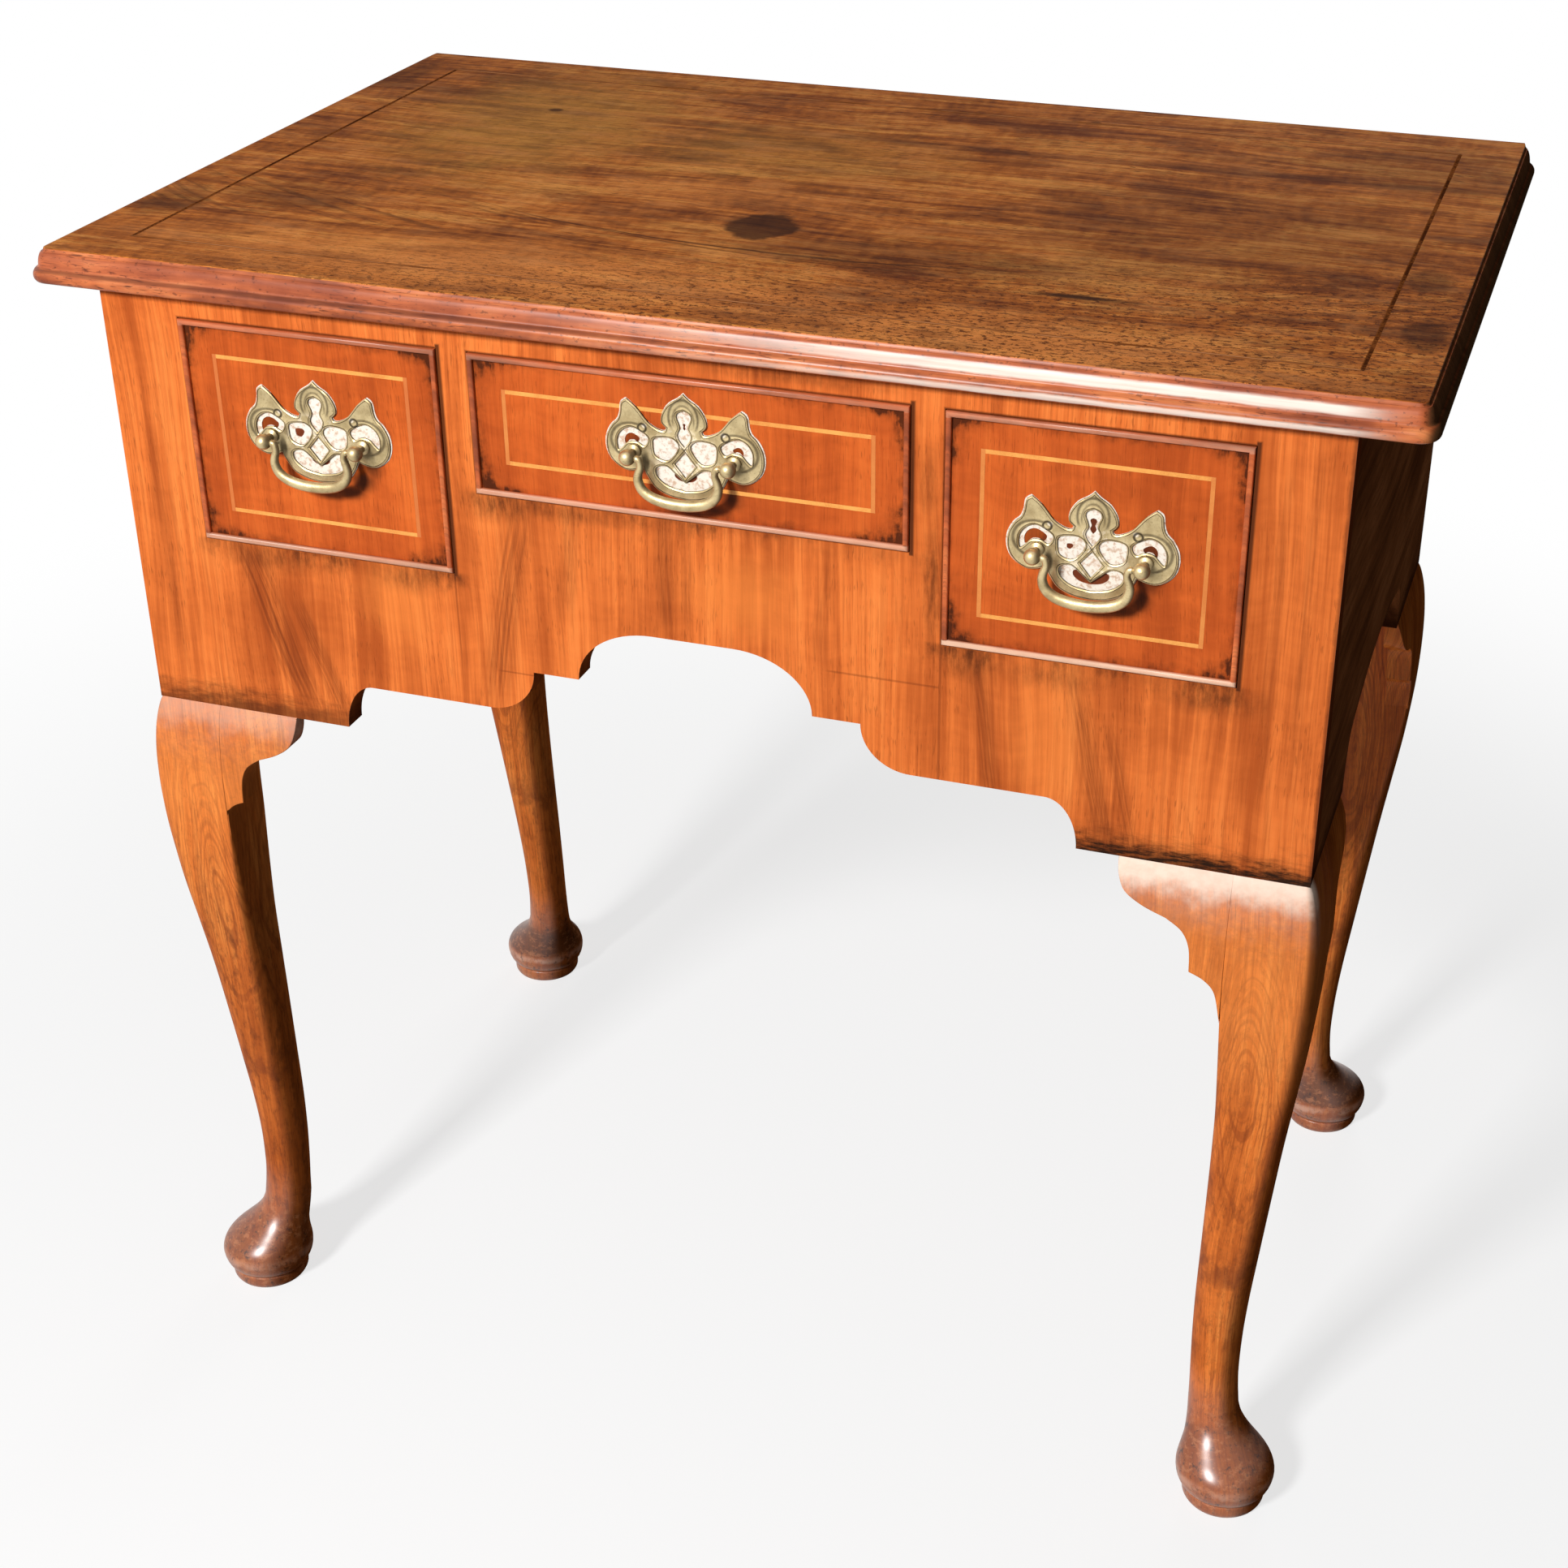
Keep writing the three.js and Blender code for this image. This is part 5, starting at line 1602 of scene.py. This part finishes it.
@dataclass
class Studio:
    """The camera where the photograph was taken, soft lamps and a pale floor."""

    place: Place = (0.476975, -1.382013, 1.154942)
    right: Place = (0.947720, 0.319102, -0.000410)
    up: Place = (-0.158087, 0.470627, 0.868055)
    forward: Place = (-0.277190, 0.822608, -0.496468)
    lens: float = 57.3765
    shift_x: float = -0.039112
    shift_y: float = 0.012867
    target: Place = (0.0, -0.15, 0.45)
    floor_size: float = 12.0
    floor_seen: Seen = (182, 182, 182)
    floor_glow: float = 0.72
    floor_fade: Share = (450.0, 1500.0)

    def build_camera(self) -> None:
        """Sets up the camera."""
        data = bpy.data.cameras.new("camera")
        data.lens = self.lens
        data.sensor_width = 36.0
        data.shift_x = self.shift_x
        data.shift_y = self.shift_y
        data.clip_end = 50.0
        camera = bpy.data.objects.new("camera", data)
        turn = Matrix((self.right, self.up, tuple(-k for k in self.forward))).transposed()
        camera.matrix_world = Matrix.Translation(self.place) @ turn.to_4x4()
        bpy.context.scene.collection.objects.link(camera)
        bpy.context.scene.camera = camera

    def add_lamp(self, name: str, direction: Place, distance: float, size: float, watts: float) -> None:
        """Adds a soft square lamp that looks at the table.

        Args:
            name: The lamp's name.
            direction: Where it stands, as seen from the table.
            distance: How far off it stands, in metres.
            size: Its side, in metres.
            watts: Its power.
        """
        data = bpy.data.lights.new(name, "AREA")
        data.shape = "SQUARE"
        data.size = size
        data.energy = watts
        lamp = bpy.data.objects.new(name, data)
        toward = Vector(direction).normalized()
        lamp.location = Vector(self.target) + toward * distance
        lamp.rotation_euler = toward.to_track_quat("Z", "Y").to_euler()
        bpy.context.scene.collection.objects.link(lamp)

    def build_lamps(self) -> None:
        """Sets up the soft lamp in front, a little to the left, and a low one that lights only the back."""
        self.add_lamp("key", (-0.24, -0.83, 0.54), 3.2, 0.5, 106.0)
        self.add_lamp("back", (0.0, 1.0, -0.02), 3.2, 1.2, 50.0)

    def build_world(self) -> None:
        """A dim grey world that the camera and glossy surfaces see as white."""
        shader = Shader(bpy.data.worlds.new("studio"))
        dim = {"Value": shader.seen_directly(), "To Min": 0.1, "To Max": 1.0}
        strength = shader.node("ShaderNodeMapRange", inputs=dim)
        back = shader.node("ShaderNodeBackground", inputs={"Color": opaque(WHITE), "Strength": strength})
        bpy.context.scene.world = shader.close(back, "ShaderNodeOutputWorld")

    def build_floor(self) -> None:
        """A pale floor that keeps the table's shadow and fades to white further off."""
        bm = bmesh.new()
        bmesh.ops.create_grid(bm, x_segments=1, y_segments=1, size=self.floor_size)
        mesh = bpy.data.meshes.new("floor")
        bm.to_mesh(mesh)
        bm.free()
        floor = bpy.data.objects.new("floor", mesh)
        bpy.context.scene.collection.objects.link(floor)
        shader = Shader.of_material("pale_floor")
        spot = shader.spot()
        off = ((spot.x * spot.x + spot.y * spot.y) ** 0.5).rise(*self.floor_fade)
        paint = shader.mix(shader.ray("Camera"), linear(self.floor_seen), WHITE)
        matt = shader.node("ShaderNodeBsdfDiffuse", inputs={"Color": paint})
        glow = shader.node("ShaderNodeEmission", inputs={"Color": opaque(WHITE), "Strength": 1.0})
        share = shader.seen_directly() * (off * (1 - self.floor_glow) + self.floor_glow)
        mixed = shader.node("ShaderNodeMixShader", inputs={0: share, 1: matt, 2: glow})
        mesh.materials.append(shader.close(mixed))

    def build(self) -> None:
        """Sets up the whole studio."""
        scene = bpy.context.scene
        scene.view_settings.view_transform = "Standard"
        self.build_camera()
        self.build_lamps()
        self.build_world()
        self.build_floor()


# The table


@dataclass
class Table:
    """The whole lowboy: its top, case, legs, drawers and handles."""

    drawers: tuple[str, ...] = ("drawer_left", "drawer_middle", "drawer_right")
    lean_front_left: float = -8.0
    lean_back_left: float = 16.0
    lean_back_right: float = -5.0
    short_reach: float = 93.0
    bare_wood: tuple[tuple[float, ...], ...] = (
        (0.0, 0.0, 0.35, 0.0, 0.42, 0.0, 0.65),
        (0.2, 0.0, 0.4, 0.0, 0.0, 0.35, 0.5),
        (0.45, 0.0, 0.6, 0.0, 0.25, 0.45, 0.7),
    )
    flames: tuple[Flame, ...] = (
        Flame(-262, 520, 15, 70, -0.30, 0.75),
        Flame(-236, 500, 9, 50, -0.35, 0.6),
        Flame(-112, 552, 13, 80, 0.20, 0.6),
        Flame(-72, 585, 8, 40, 0.12, 0.5),
        Flame(-14, 590, 8, 50, 0.0, 0.55),
        Flame(-2, 590, 5, 45, 0.0, 0.4),
        Flame(76, 580, 6, 45, 0.05, 0.35),
        Flame(168, 520, 8, 60, -0.12, 0.6),
        Flame(228, 505, 10, 70, -0.22, 0.65),
        Flame(246, 490, 7, 60, -0.25, 0.5),
        Flame(318, 600, 5, 110, 0.0, 0.3),
        Flame(334, 610, 4, 120, 0.0, 0.3),
        Flame(-330, 560, 6, 120, 0.0, 0.25),
    )

    smudges: tuple[Stain, ...] = (
        Stain(-114, 614, 30, 15, 0.75, 1.0),
        Stain(-72, 614, 50, 9, 0.5, 1.0),
        Stain(-258, 560, 50, 12, 0.5, 1.0),
        Stain(-172, 561, 34, 14, 0.5, 1.0),
        Stain(138, 602, 8, 52, 0.7, 1.0),
        Stain(135, 660, 8, 30, 0.4, 1.0),
        Stain(158, 559, 24, 15, 0.6, 1.0),
        Stain(204, 558, 44, 11, 0.4, 1.0),
        Stain(290, 560, 40, 14, 0.65, 1.0),
        Stain(60, 708, 90, 6, 0.5, 1.0),
    )

    def build_top(self) -> None:
        """The top and its string."""
        stains = (
            Stain(-14.5, CASE_FRONT + 161, 23, 31, 0.85, 0.25),
            Stain(188, CASE_FRONT + 95, 44, 5, 0.95, 0.8),
            Stain(358, CASE_FRONT + 180, 16, 26, 0.55),
            Stain(368, CASE_FRONT + 92, 16, 34, 0.6),
            Stain(-360, CASE_FRONT + 100, 24, 44, 0.45),
            Stain(-372, CASE_FRONT + 415, 22, 50, 0.4),
            Stain(-233, CASE_FRONT + 361, 6, 5, 0.8),
            Stain(112, CASE_FRONT + 443, 5, 4, 0.6),
            Stain(-300, CASE_FRONT + 130, 60, 34, 0.35),
            Stain(330, CASE_FRONT + 395, 80, 70, 0.3),
            Stain(230, CASE_FRONT + 230, 150, 120, 0.28),
            Stain(90, CASE_FRONT + 130, 150, 34, 0.35),
        )
        # A painted reflection: a yellowish sheen towards the top's back left.
        painted_reflection = (
            Stain(-230, CASE_FRONT + 330, 130, 190, 0.55, 0.8),
            Stain(-60, CASE_FRONT + 310, 150, 90, 0.35, 0.8),
        )
        warm = (
            Stain(-120, CASE_FRONT + 40, 300, 60, 0.6, 0.8),
            Stain(180, CASE_FRONT + 16, 220, 56, 0.6, 0.8),
            Stain(-60, CASE_FRONT + 215, 110, 36, 0.3, 0.8),
        )
        wood = TOP_WALNUT.material(
            toned(painted_reflection, (198, 142, 62)),
            toned(warm, (244, 152, 78)),
            self.top_figure,
            toned(stains, (62, 27, 6)),
        )
        moulding = MOULDING_WALNUT.material(
            self.moulding_bands, gloss=lambda spot: spot.shade().fall(0.1, 0.5),
        )
        Top().build(wood, moulding)
        dress("top_stringing", TopString().material())

    @staticmethod
    def moulding_bands(spot: Spot, paint: Paint) -> None:
        """Lays painted shade in the moulding's hollow, dark specks and ends, a redder ovolo, painted
        highlights along its front and painted shade on the sides that face away, over a colour.
        """
        rough = (spot.noise(0.04, 0.04, 0.3, 3.0, 0.6) - 0.5) * 2
        level = spot.z + rough
        ovolo = level.band(722.5, 725, 731, 732.4)
        paint.lay(ovolo * 0.35, (170, 86, 58))
        # Painted shade in the hollow between ovolo and nose, strongest towards the left.
        quirk = abs(spot.z + rough * 0.5 - 722.6).fall(0.3, 1.6) * spot.x.fall(-100, 200)
        speck = spot.noise(0.3, 0.3, 0.5, 3.0, 0.6).rise(0.58, 0.68)
        ends = abs(spot.x).rise(383, 387) * 0.6
        paint.lay((quirk * 0.6).highest(speck * 0.6).highest(ends), (84, 38, 22))
        # Painted highlights along the ovolo and the nose, strongest towards the right of the front.
        streak = spot.noise(0.02, 0.3, 0.6, 4.0, 0.6) * 0.9 + 0.45
        upper = level.band(724.2, 725.8, 728.6, 730.6)
        lower = level.band(715.6, 716.6, 718.6, 720.2)
        bright = spot.x.band(-170, 200, 340, 384) * spot.y.fall(CASE_FRONT + 4, CASE_FRONT + 10)
        gleam = (upper + lower * 0.8) * bright * bright * streak
        paint.lay(gleam.lowest(0.92), (255, 240, 226))
        # Painted shade on the faces that look away from the window.
        paint.lay(spot.shade().rise(0.3, 0.8) * 0.75, (62, 54, 34))

    @staticmethod
    def top_figure(spot: Spot, paint: Paint) -> None:
        """Lays the top's bowed grain lines, its long dark band and its open pores over a colour."""
        x, y, noise = spot.x, spot.y - CASE_FRONT, spot.shader.noise
        waver = (noise(x * 0.012, y * 0.02, 1.0, 3.0, 0.6) - 0.5) * 34
        bowed = y - (x - 28) * (x - 28) * 0.0008 + waver * 0.35
        lines = noise(x * 0.004, bowed * 0.16, 3.0, 3.0, 0.6).rise(0.5, 0.66)
        zone = y.band(70, 110, 120, 210)
        paint.lay(lines * zone * 0.55, (74, 36, 16))
        crack = abs(bowed - 115).fall(0.3, 1.6) * abs(x - 10).fall(60, 190)
        second = abs(bowed - 108 + x * 0.05).fall(0.3, 1.3) * abs(x + 40).fall(60, 200)
        paint.lay((crack + second * 0.6).lowest(0.8), (54, 26, 12))
        band = abs(y - 357 + waver * 0.35).fall(1.0, 9.0) * noise(x * 0.02, 9.0, 0.0, 2.0).rise(0.3, 0.6)
        paint.lay(band * 0.6, (84, 42, 20))
        blotch = noise(x * 0.018, y * 0.04, 21.0, 4.0, 0.65)
        paint.lay(blotch.rise(0.48, 0.68) * 0.42, (100, 48, 20))
        paint.lay(blotch.fall(0.32, 0.5) * 0.3, (226, 138, 70))
        pits = noise(x * 0.2, y * 0.36, 4.0, 4.0, 0.75).rise(0.535, 0.575)
        short = noise(x * 0.1, y * 0.6, 8.0, 4.0, 0.7).rise(0.56, 0.61)
        front_right = (x * 0.3 - y + 120).rise(-30, 110)
        pits = pits * front_right * 0.9 + short * (front_right * 0.3 + 0.4)
        paint.lay(pits.lowest(0.85), (76, 32, 12))
        scuff = noise(x * 0.02, y * 0.06, 12.0, 4.0, 0.7).rise(0.46, 0.72)
        paint.lay(scuff * 0.3, (236, 158, 92))

    def build_case(self) -> None:
        """The front frame, the sides, the back and the runners."""
        frames = [Frame.of_node(f"{name}_cockbead") for name in self.drawers]
        patina_and_shade = DirtAndPaintedShade()
        pale = (
            Stain(30, 580, 45, 34, 0.5, 0.8),
            Stain(-180, 545, 34, 40, 0.4, 0.8),
            Stain(205, 520, 30, 60, 0.35, 0.8),
        )
        front = FRONT_WALNUT.material(
            toned(pale, (240, 136, 62), upright=True),
            streaked(self.flames, (104, 42, 18)),
            self.seams_and_painted_shade,
            patina_and_shade.around(frames, self.smudges),
            patina_and_shade.low_edge(150.0),
            patina_and_shade.thickness,
            gloss=lambda spot: spot.y.fall(CASE_FRONT + 0.1, CASE_FRONT + 1.0),
        )
        for node in ("top_rail", "stile_left", "stile_right", "divider_left", "divider_right", "apron"):
            dress(node, front)
        dress("side_left", LEFT_SIDE_WALNUT.material(patina_and_shade.low_edge(500.0)))
        # The right side's walnut carries painted shade.
        dress("side_right", SHADED_SIDE_WALNUT.material(patina_and_shade.low_edge(500.0)))
        deep, across = OAK_DEEP.material(), OAK_ACROSS.material()
        dress("back_panel", across)
        for node in ("partition_left", "partition_right", "runner_left", "runner_right"):
            dress(node, deep)
        for name in self.drawers:
            dress(f"{name}_side_left", deep)
            dress(f"{name}_side_right", deep)
            dress(f"{name}_back", across)
            dress(f"{name}_bottom", across)

    @staticmethod
    def seams_and_painted_shade(spot: Spot, paint: Paint) -> None:
        """Lays the fine joint lines between the front's veneers over a colour, with painted shade along the
        right front corner and under the top's moulding.
        """
        upright = spot.x.line(143, 0.2, 0.9) * spot.z.fall(566, 570)
        other = abs(spot.x + 143).fall(0.2, 0.8) * spot.z.fall(612, 620) * spot.z.rise(500, 540)
        level = spot.z.line(542.5, 0.2, 0.9) * spot.x.band(76, 84, 140, 144)
        low = spot.z.line(511, 0.2, 0.8) * spot.x.band(-122, -116, -92, -86)
        paint.lay((upright + other * 0.6 + level * 0.5 + low * 0.4).lowest(0.4), (110, 46, 20))
        # Painted shade: a dark line down the case's right front corner, and a painted shadow under the top's
        # overhang.
        rough = spot.shader.noise(spot.x * 0.05, 3.0, spot.z * 0.08, 4.0, 0.7)
        corner = (spot.x + (rough - 0.5) * 3).rise(347.4, 349.4) * 0.6
        shadow = (spot.z + (rough - 0.5) * 4).rise(711, 714.5) * 0.6
        paint.lay(corner.highest(shadow), (92, 42, 22))

    def build_legs(self) -> None:
        """The four legs and six knee brackets."""
        wood = LEG_WALNUT.material(self.knee_figure, self.leg_wear, gloss=self.leg_gloss)
        leans = {
            (Side.LEFT, End.FRONT): self.lean_front_left,
            (Side.RIGHT, End.FRONT): 0.0,
            (Side.LEFT, End.BACK): self.lean_back_left,
            (Side.RIGHT, End.BACK): self.lean_back_right,
        }
        for (side, end), lean in leans.items():
            Leg(side, end, lean).build(wood)
            KneeBracket(side, end, on_front=False).build(wood)
        KneeBracket(Side.RIGHT, End.FRONT, on_front=True).build(wood)
        KneeBracket(Side.LEFT, End.FRONT, on_front=True, reach=self.short_reach).build(wood)

    @staticmethod
    def knee_figure(spot: Spot, paint: Paint) -> None:
        """Lays growth rings over a colour, as a solid log shows them where the knee swells."""
        aside = abs(spot.x) - 326
        inward = abs(spot.y + 9.75) - 190
        wander = (spot.noise(0.02, 0.02, 0.008, 3.0) - 0.5) * 14
        across, along = aside / 8, (spot.z - 330) / 34
        oval = (across * across + along * along) ** 0.5 * 5
        reach = (aside * aside + inward * inward) ** 0.5 * 0.5 + oval + wander
        rings = spot.shader.noise(reach * 0.85, 0.0, spot.z * 0.002, 2.0, 0.6).rise(0.42, 0.62)
        share = spot.z.band(160, 280, 400, 440)
        paint.lay(rings * share * 0.5, (146, 64, 22))

    @staticmethod
    def leg_gloss(spot: Spot) -> Value:
        """Full shine on the feet, less above, and none on the sides that face away."""
        return (spot.z.fall(60, 100) * 0.8 + 0.2) * spot.shade().fall(0.3, 0.8)

    @staticmethod
    def leg_wear(spot: Spot, paint: Paint) -> None:
        """Lays dark feet, knocks and specks, a painted lighter band on the knees' fronts, painted shade on
        the pads' tops and on the sides that face away, a painted highlight round the pads' rims and painted
        glare on the knee tops, over a colour.
        """
        rough = spot.noise(0.05, 0.05, 0.05, 4.0, 0.65)
        forward = spot.y.fall(-190, -170)
        # A painted lighter band on the knees' fronts, where the light falls most.
        bright = spot.z.band(290, 370, 425, 445) * forward
        high_up = spot.x.rise(-100, 100).highest(spot.z.rise(360, 400))
        share = bright * (rough * 0.5 + 0.1) * (high_up * 0.6 + 0.4)
        paint.lay(share, (255, 154, 76))
        grit = spot.noise(0.3, 0.3, 0.08, 5.0, 0.72).rise(0.48, 0.66)
        paint.lay(grit * (spot.z.fall(240, 380) * 0.26 + 0.12), (98, 44, 18))
        dull = spot.x.fall(-60, 60) * spot.z.fall(280, 380) * forward
        paint.lay(dull * (grit * 0.2 + 0.24), (104, 48, 20))
        feet = (spot.z + (rough - 0.5) * 50).fall(40, 88)
        burn = abs(spot.z - 180 + (rough - 0.5) * 50).fall(2, 20) * rough.rise(0.38, 0.58)
        paint.lay(burn * 0.5, (110, 48, 24))
        paint.lay(feet * 0.6, (124, 60, 28))
        # Painted shade on the pads' tops, heavier on the back feet.
        behind = spot.y.rise(-20, 20)
        painted_foot_shade = spot.z.rise(24, 30) * (spot.z + (rough - 0.5) * 16).fall(46, 60)
        paint.lay(painted_foot_shade * (behind * 0.45 + 0.2), (48, 28, 18))
        # A painted highlight: a pale ring round each pad's rim.
        worn = abs(spot.z + (rough - 0.5) * 12 - 23).fall(0.6, 4.4) * rough.rise(0.35, 0.6)
        paint.lay(worn * (behind * 0.2 + 0.35), (236, 190, 166))
        speck = spot.noise(0.2, 0.2, 0.16, 5.0, 0.75).rise(0.54, 0.66)
        paint.lay(speck * (feet * 0.75 + 0.12), (58, 26, 14))
        scuff = spot.noise(0.16, 0.16, 0.26, 5.0, 0.75).rise(0.5, 0.62)
        paint.lay(scuff * feet * 0.4, (214, 140, 94))
        # Painted shade on the sides that face away from the window.
        paint.lay(spot.shade().rise(0.2, 0.75) * 0.64, (52, 30, 15))
        high = spot.z + (rough - 0.5) * 24
        fine = spot.noise(0.16, 0.2, 0.22, 4.0, 0.65)
        stained = high.rise(392, 436) * fine.rise(0.2, 0.8) * forward
        paint.lay(stained * 0.5, (148, 78, 52))
        # Painted glare on the knee tops just under the case.
        painted_knee_glare = (high.rise(436, 453) * 0.8 + high.rise(416, 450) * 0.2) * spot.z.fall(457.5, 458)
        painted_knee_glare = painted_knee_glare * spot.y.fall(CASE_FRONT + 2, CASE_FRONT + 12) * (fine * 0.5 + 0.75)
        share = painted_knee_glare * (spot.x.rise(-100, 100) * 0.65 + 0.25)
        paint.lay(share.lowest(0.95), (252, 226, 206))

    def build_drawers(self) -> None:
        """The drawers' fronts, beads, strings and handles."""
        borders = [Frame.of_node(f"{name}_stringing") for name in self.drawers]
        handles = [
            Handle(name, name.replace("drawer", "bail"), bare_wood=bare)
            for name, bare in zip(self.drawers, self.bare_wood)
        ]
        middles = [(handle.x, handle.z) for handle in handles]
        string = Boxwood().material(borders, (0.95, 0.7, 0.6))
        edges = [Frame.of_node(f"{name}_cockbead") for name in self.drawers]
        bead = BEAD_WALNUT.material(self.painted_bead_highlights(edges))
        engraved = Brass("engraved_brass").material(middles)
        brass = Brass("worn_brass").material()
        # Dirty brass that also stands for painted shade on the plates' walls and engraved line.
        dull_shaded_brass = Brass("dull_shaded_brass", dirt=0.85).material()
        polish = Residue().material()
        frames = [Frame.of_node(f"{name}_front") for name in self.drawers]
        # Painted shade: darker, redder wood under each plate, seen through its openings.
        behind = [Stain(x, z - 2, 40, 17, 0.75, 0.3) for x, z in middles]
        behind += [Stain(x, z + 15, 9, 14, 0.75, 0.3) for x, z in middles]
        # Painted shadows of each bail, its posts and its plate on the drawer front.
        shadows = (
            (31, -10, 10, 15, 0.8, 0.95), (25, -21, 12, 11, 0.8, 0.95), (16, -29, 15, 7, 0.75, 0.95),
            (4, -33, 15, 4.5, 0.5, 0.95), (31, 4, 15.5, 13.5, 0.6, 0.35),
            (-28.5, 4, 14, 13, 0.5, 0.35), (1.5, 20, 12, 14.5, 0.6, 0.35), (1, -6, 27, 18, 0.5, 0.3),
        )
        cast = [
            Stain(x + aside, z + rise, half_x, half_z, depth, edge)
            for x, z in middles for aside, rise, half_x, half_z, depth, edge in shadows
        ]
        fronts = DRAWER_WALNUT.material(
            self.borders(frames),
            DirtAndPaintedShade().inside(frames),
            toned(behind, (124, 62, 44), upright=True),
            toned(cast, (40, 22, 12), upright=True),
        )
        for name, handle in zip(self.drawers, handles):
            dress(f"{name}_front", fronts)
            dress(f"{name}_stringing", string)
            Cockbead(name).build(bead)
            handle.build_plate(engraved, dull_shaded_brass, polish)
            handle.build_posts(brass)
            handle.build_bail(brass)

    @staticmethod
    def painted_bead_highlights(frames: Sequence[Frame]) -> Layer:
        """A layer that paints highlights on the beads, palest along the bottom beads."""
        def layer(spot: Spot, paint: Paint) -> None:
            """Lays the painted highlights over a colour."""
            rough = spot.noise(0.05, 0.3, 0.05, 4.0, 0.65)
            proud = spot.y.fall(CASE_FRONT - 1.6, CASE_FRONT + 0.2)
            for one, share in zip(frames, (0.4, 0.45, 0.8)):
                low = spot.z.fall(one.bottom + 3.0, one.bottom + 3.6) * (rough * 0.7 + 0.6)
                high = spot.z.rise(one.top - 3.6, one.top - 3.0) * rough * 0.5
                inside = spot.x.band(one.left - 1, one.left, one.right, one.right + 1)
                # Painted highlights along the beads' faces, strongest on the bottom beads.
                worn = low.highest(high) * inside * proud * share
                paint.lay(worn.lowest(0.9), (246, 206, 176))

        return layer

    @staticmethod
    def borders(frames: Sequence[Frame]) -> Layer:
        """A layer that gives each front's border, outside its string, a tone of its own."""
        def layer(spot: Spot, paint: Paint) -> None:
            """Lays the border over a colour."""
            for one in frames:
                inward = one.outside(spot) * -1
                paint.lay(inward.band(-1, 0, 18.4, 18.9) * 0.22, (170, 70, 28))

        return layer

    def build(self) -> None:
        """Makes and dresses the whole table."""
        self.build_top()
        self.build_case()
        self.build_legs()
        self.build_drawers()


def main() -> None:
    """Builds the studio and the table."""
    logging.basicConfig(level=logging.INFO, format="%(name)s: %(message)s")
    Studio().build()
    Table().build()


if __name__ == "__main__":
    main()
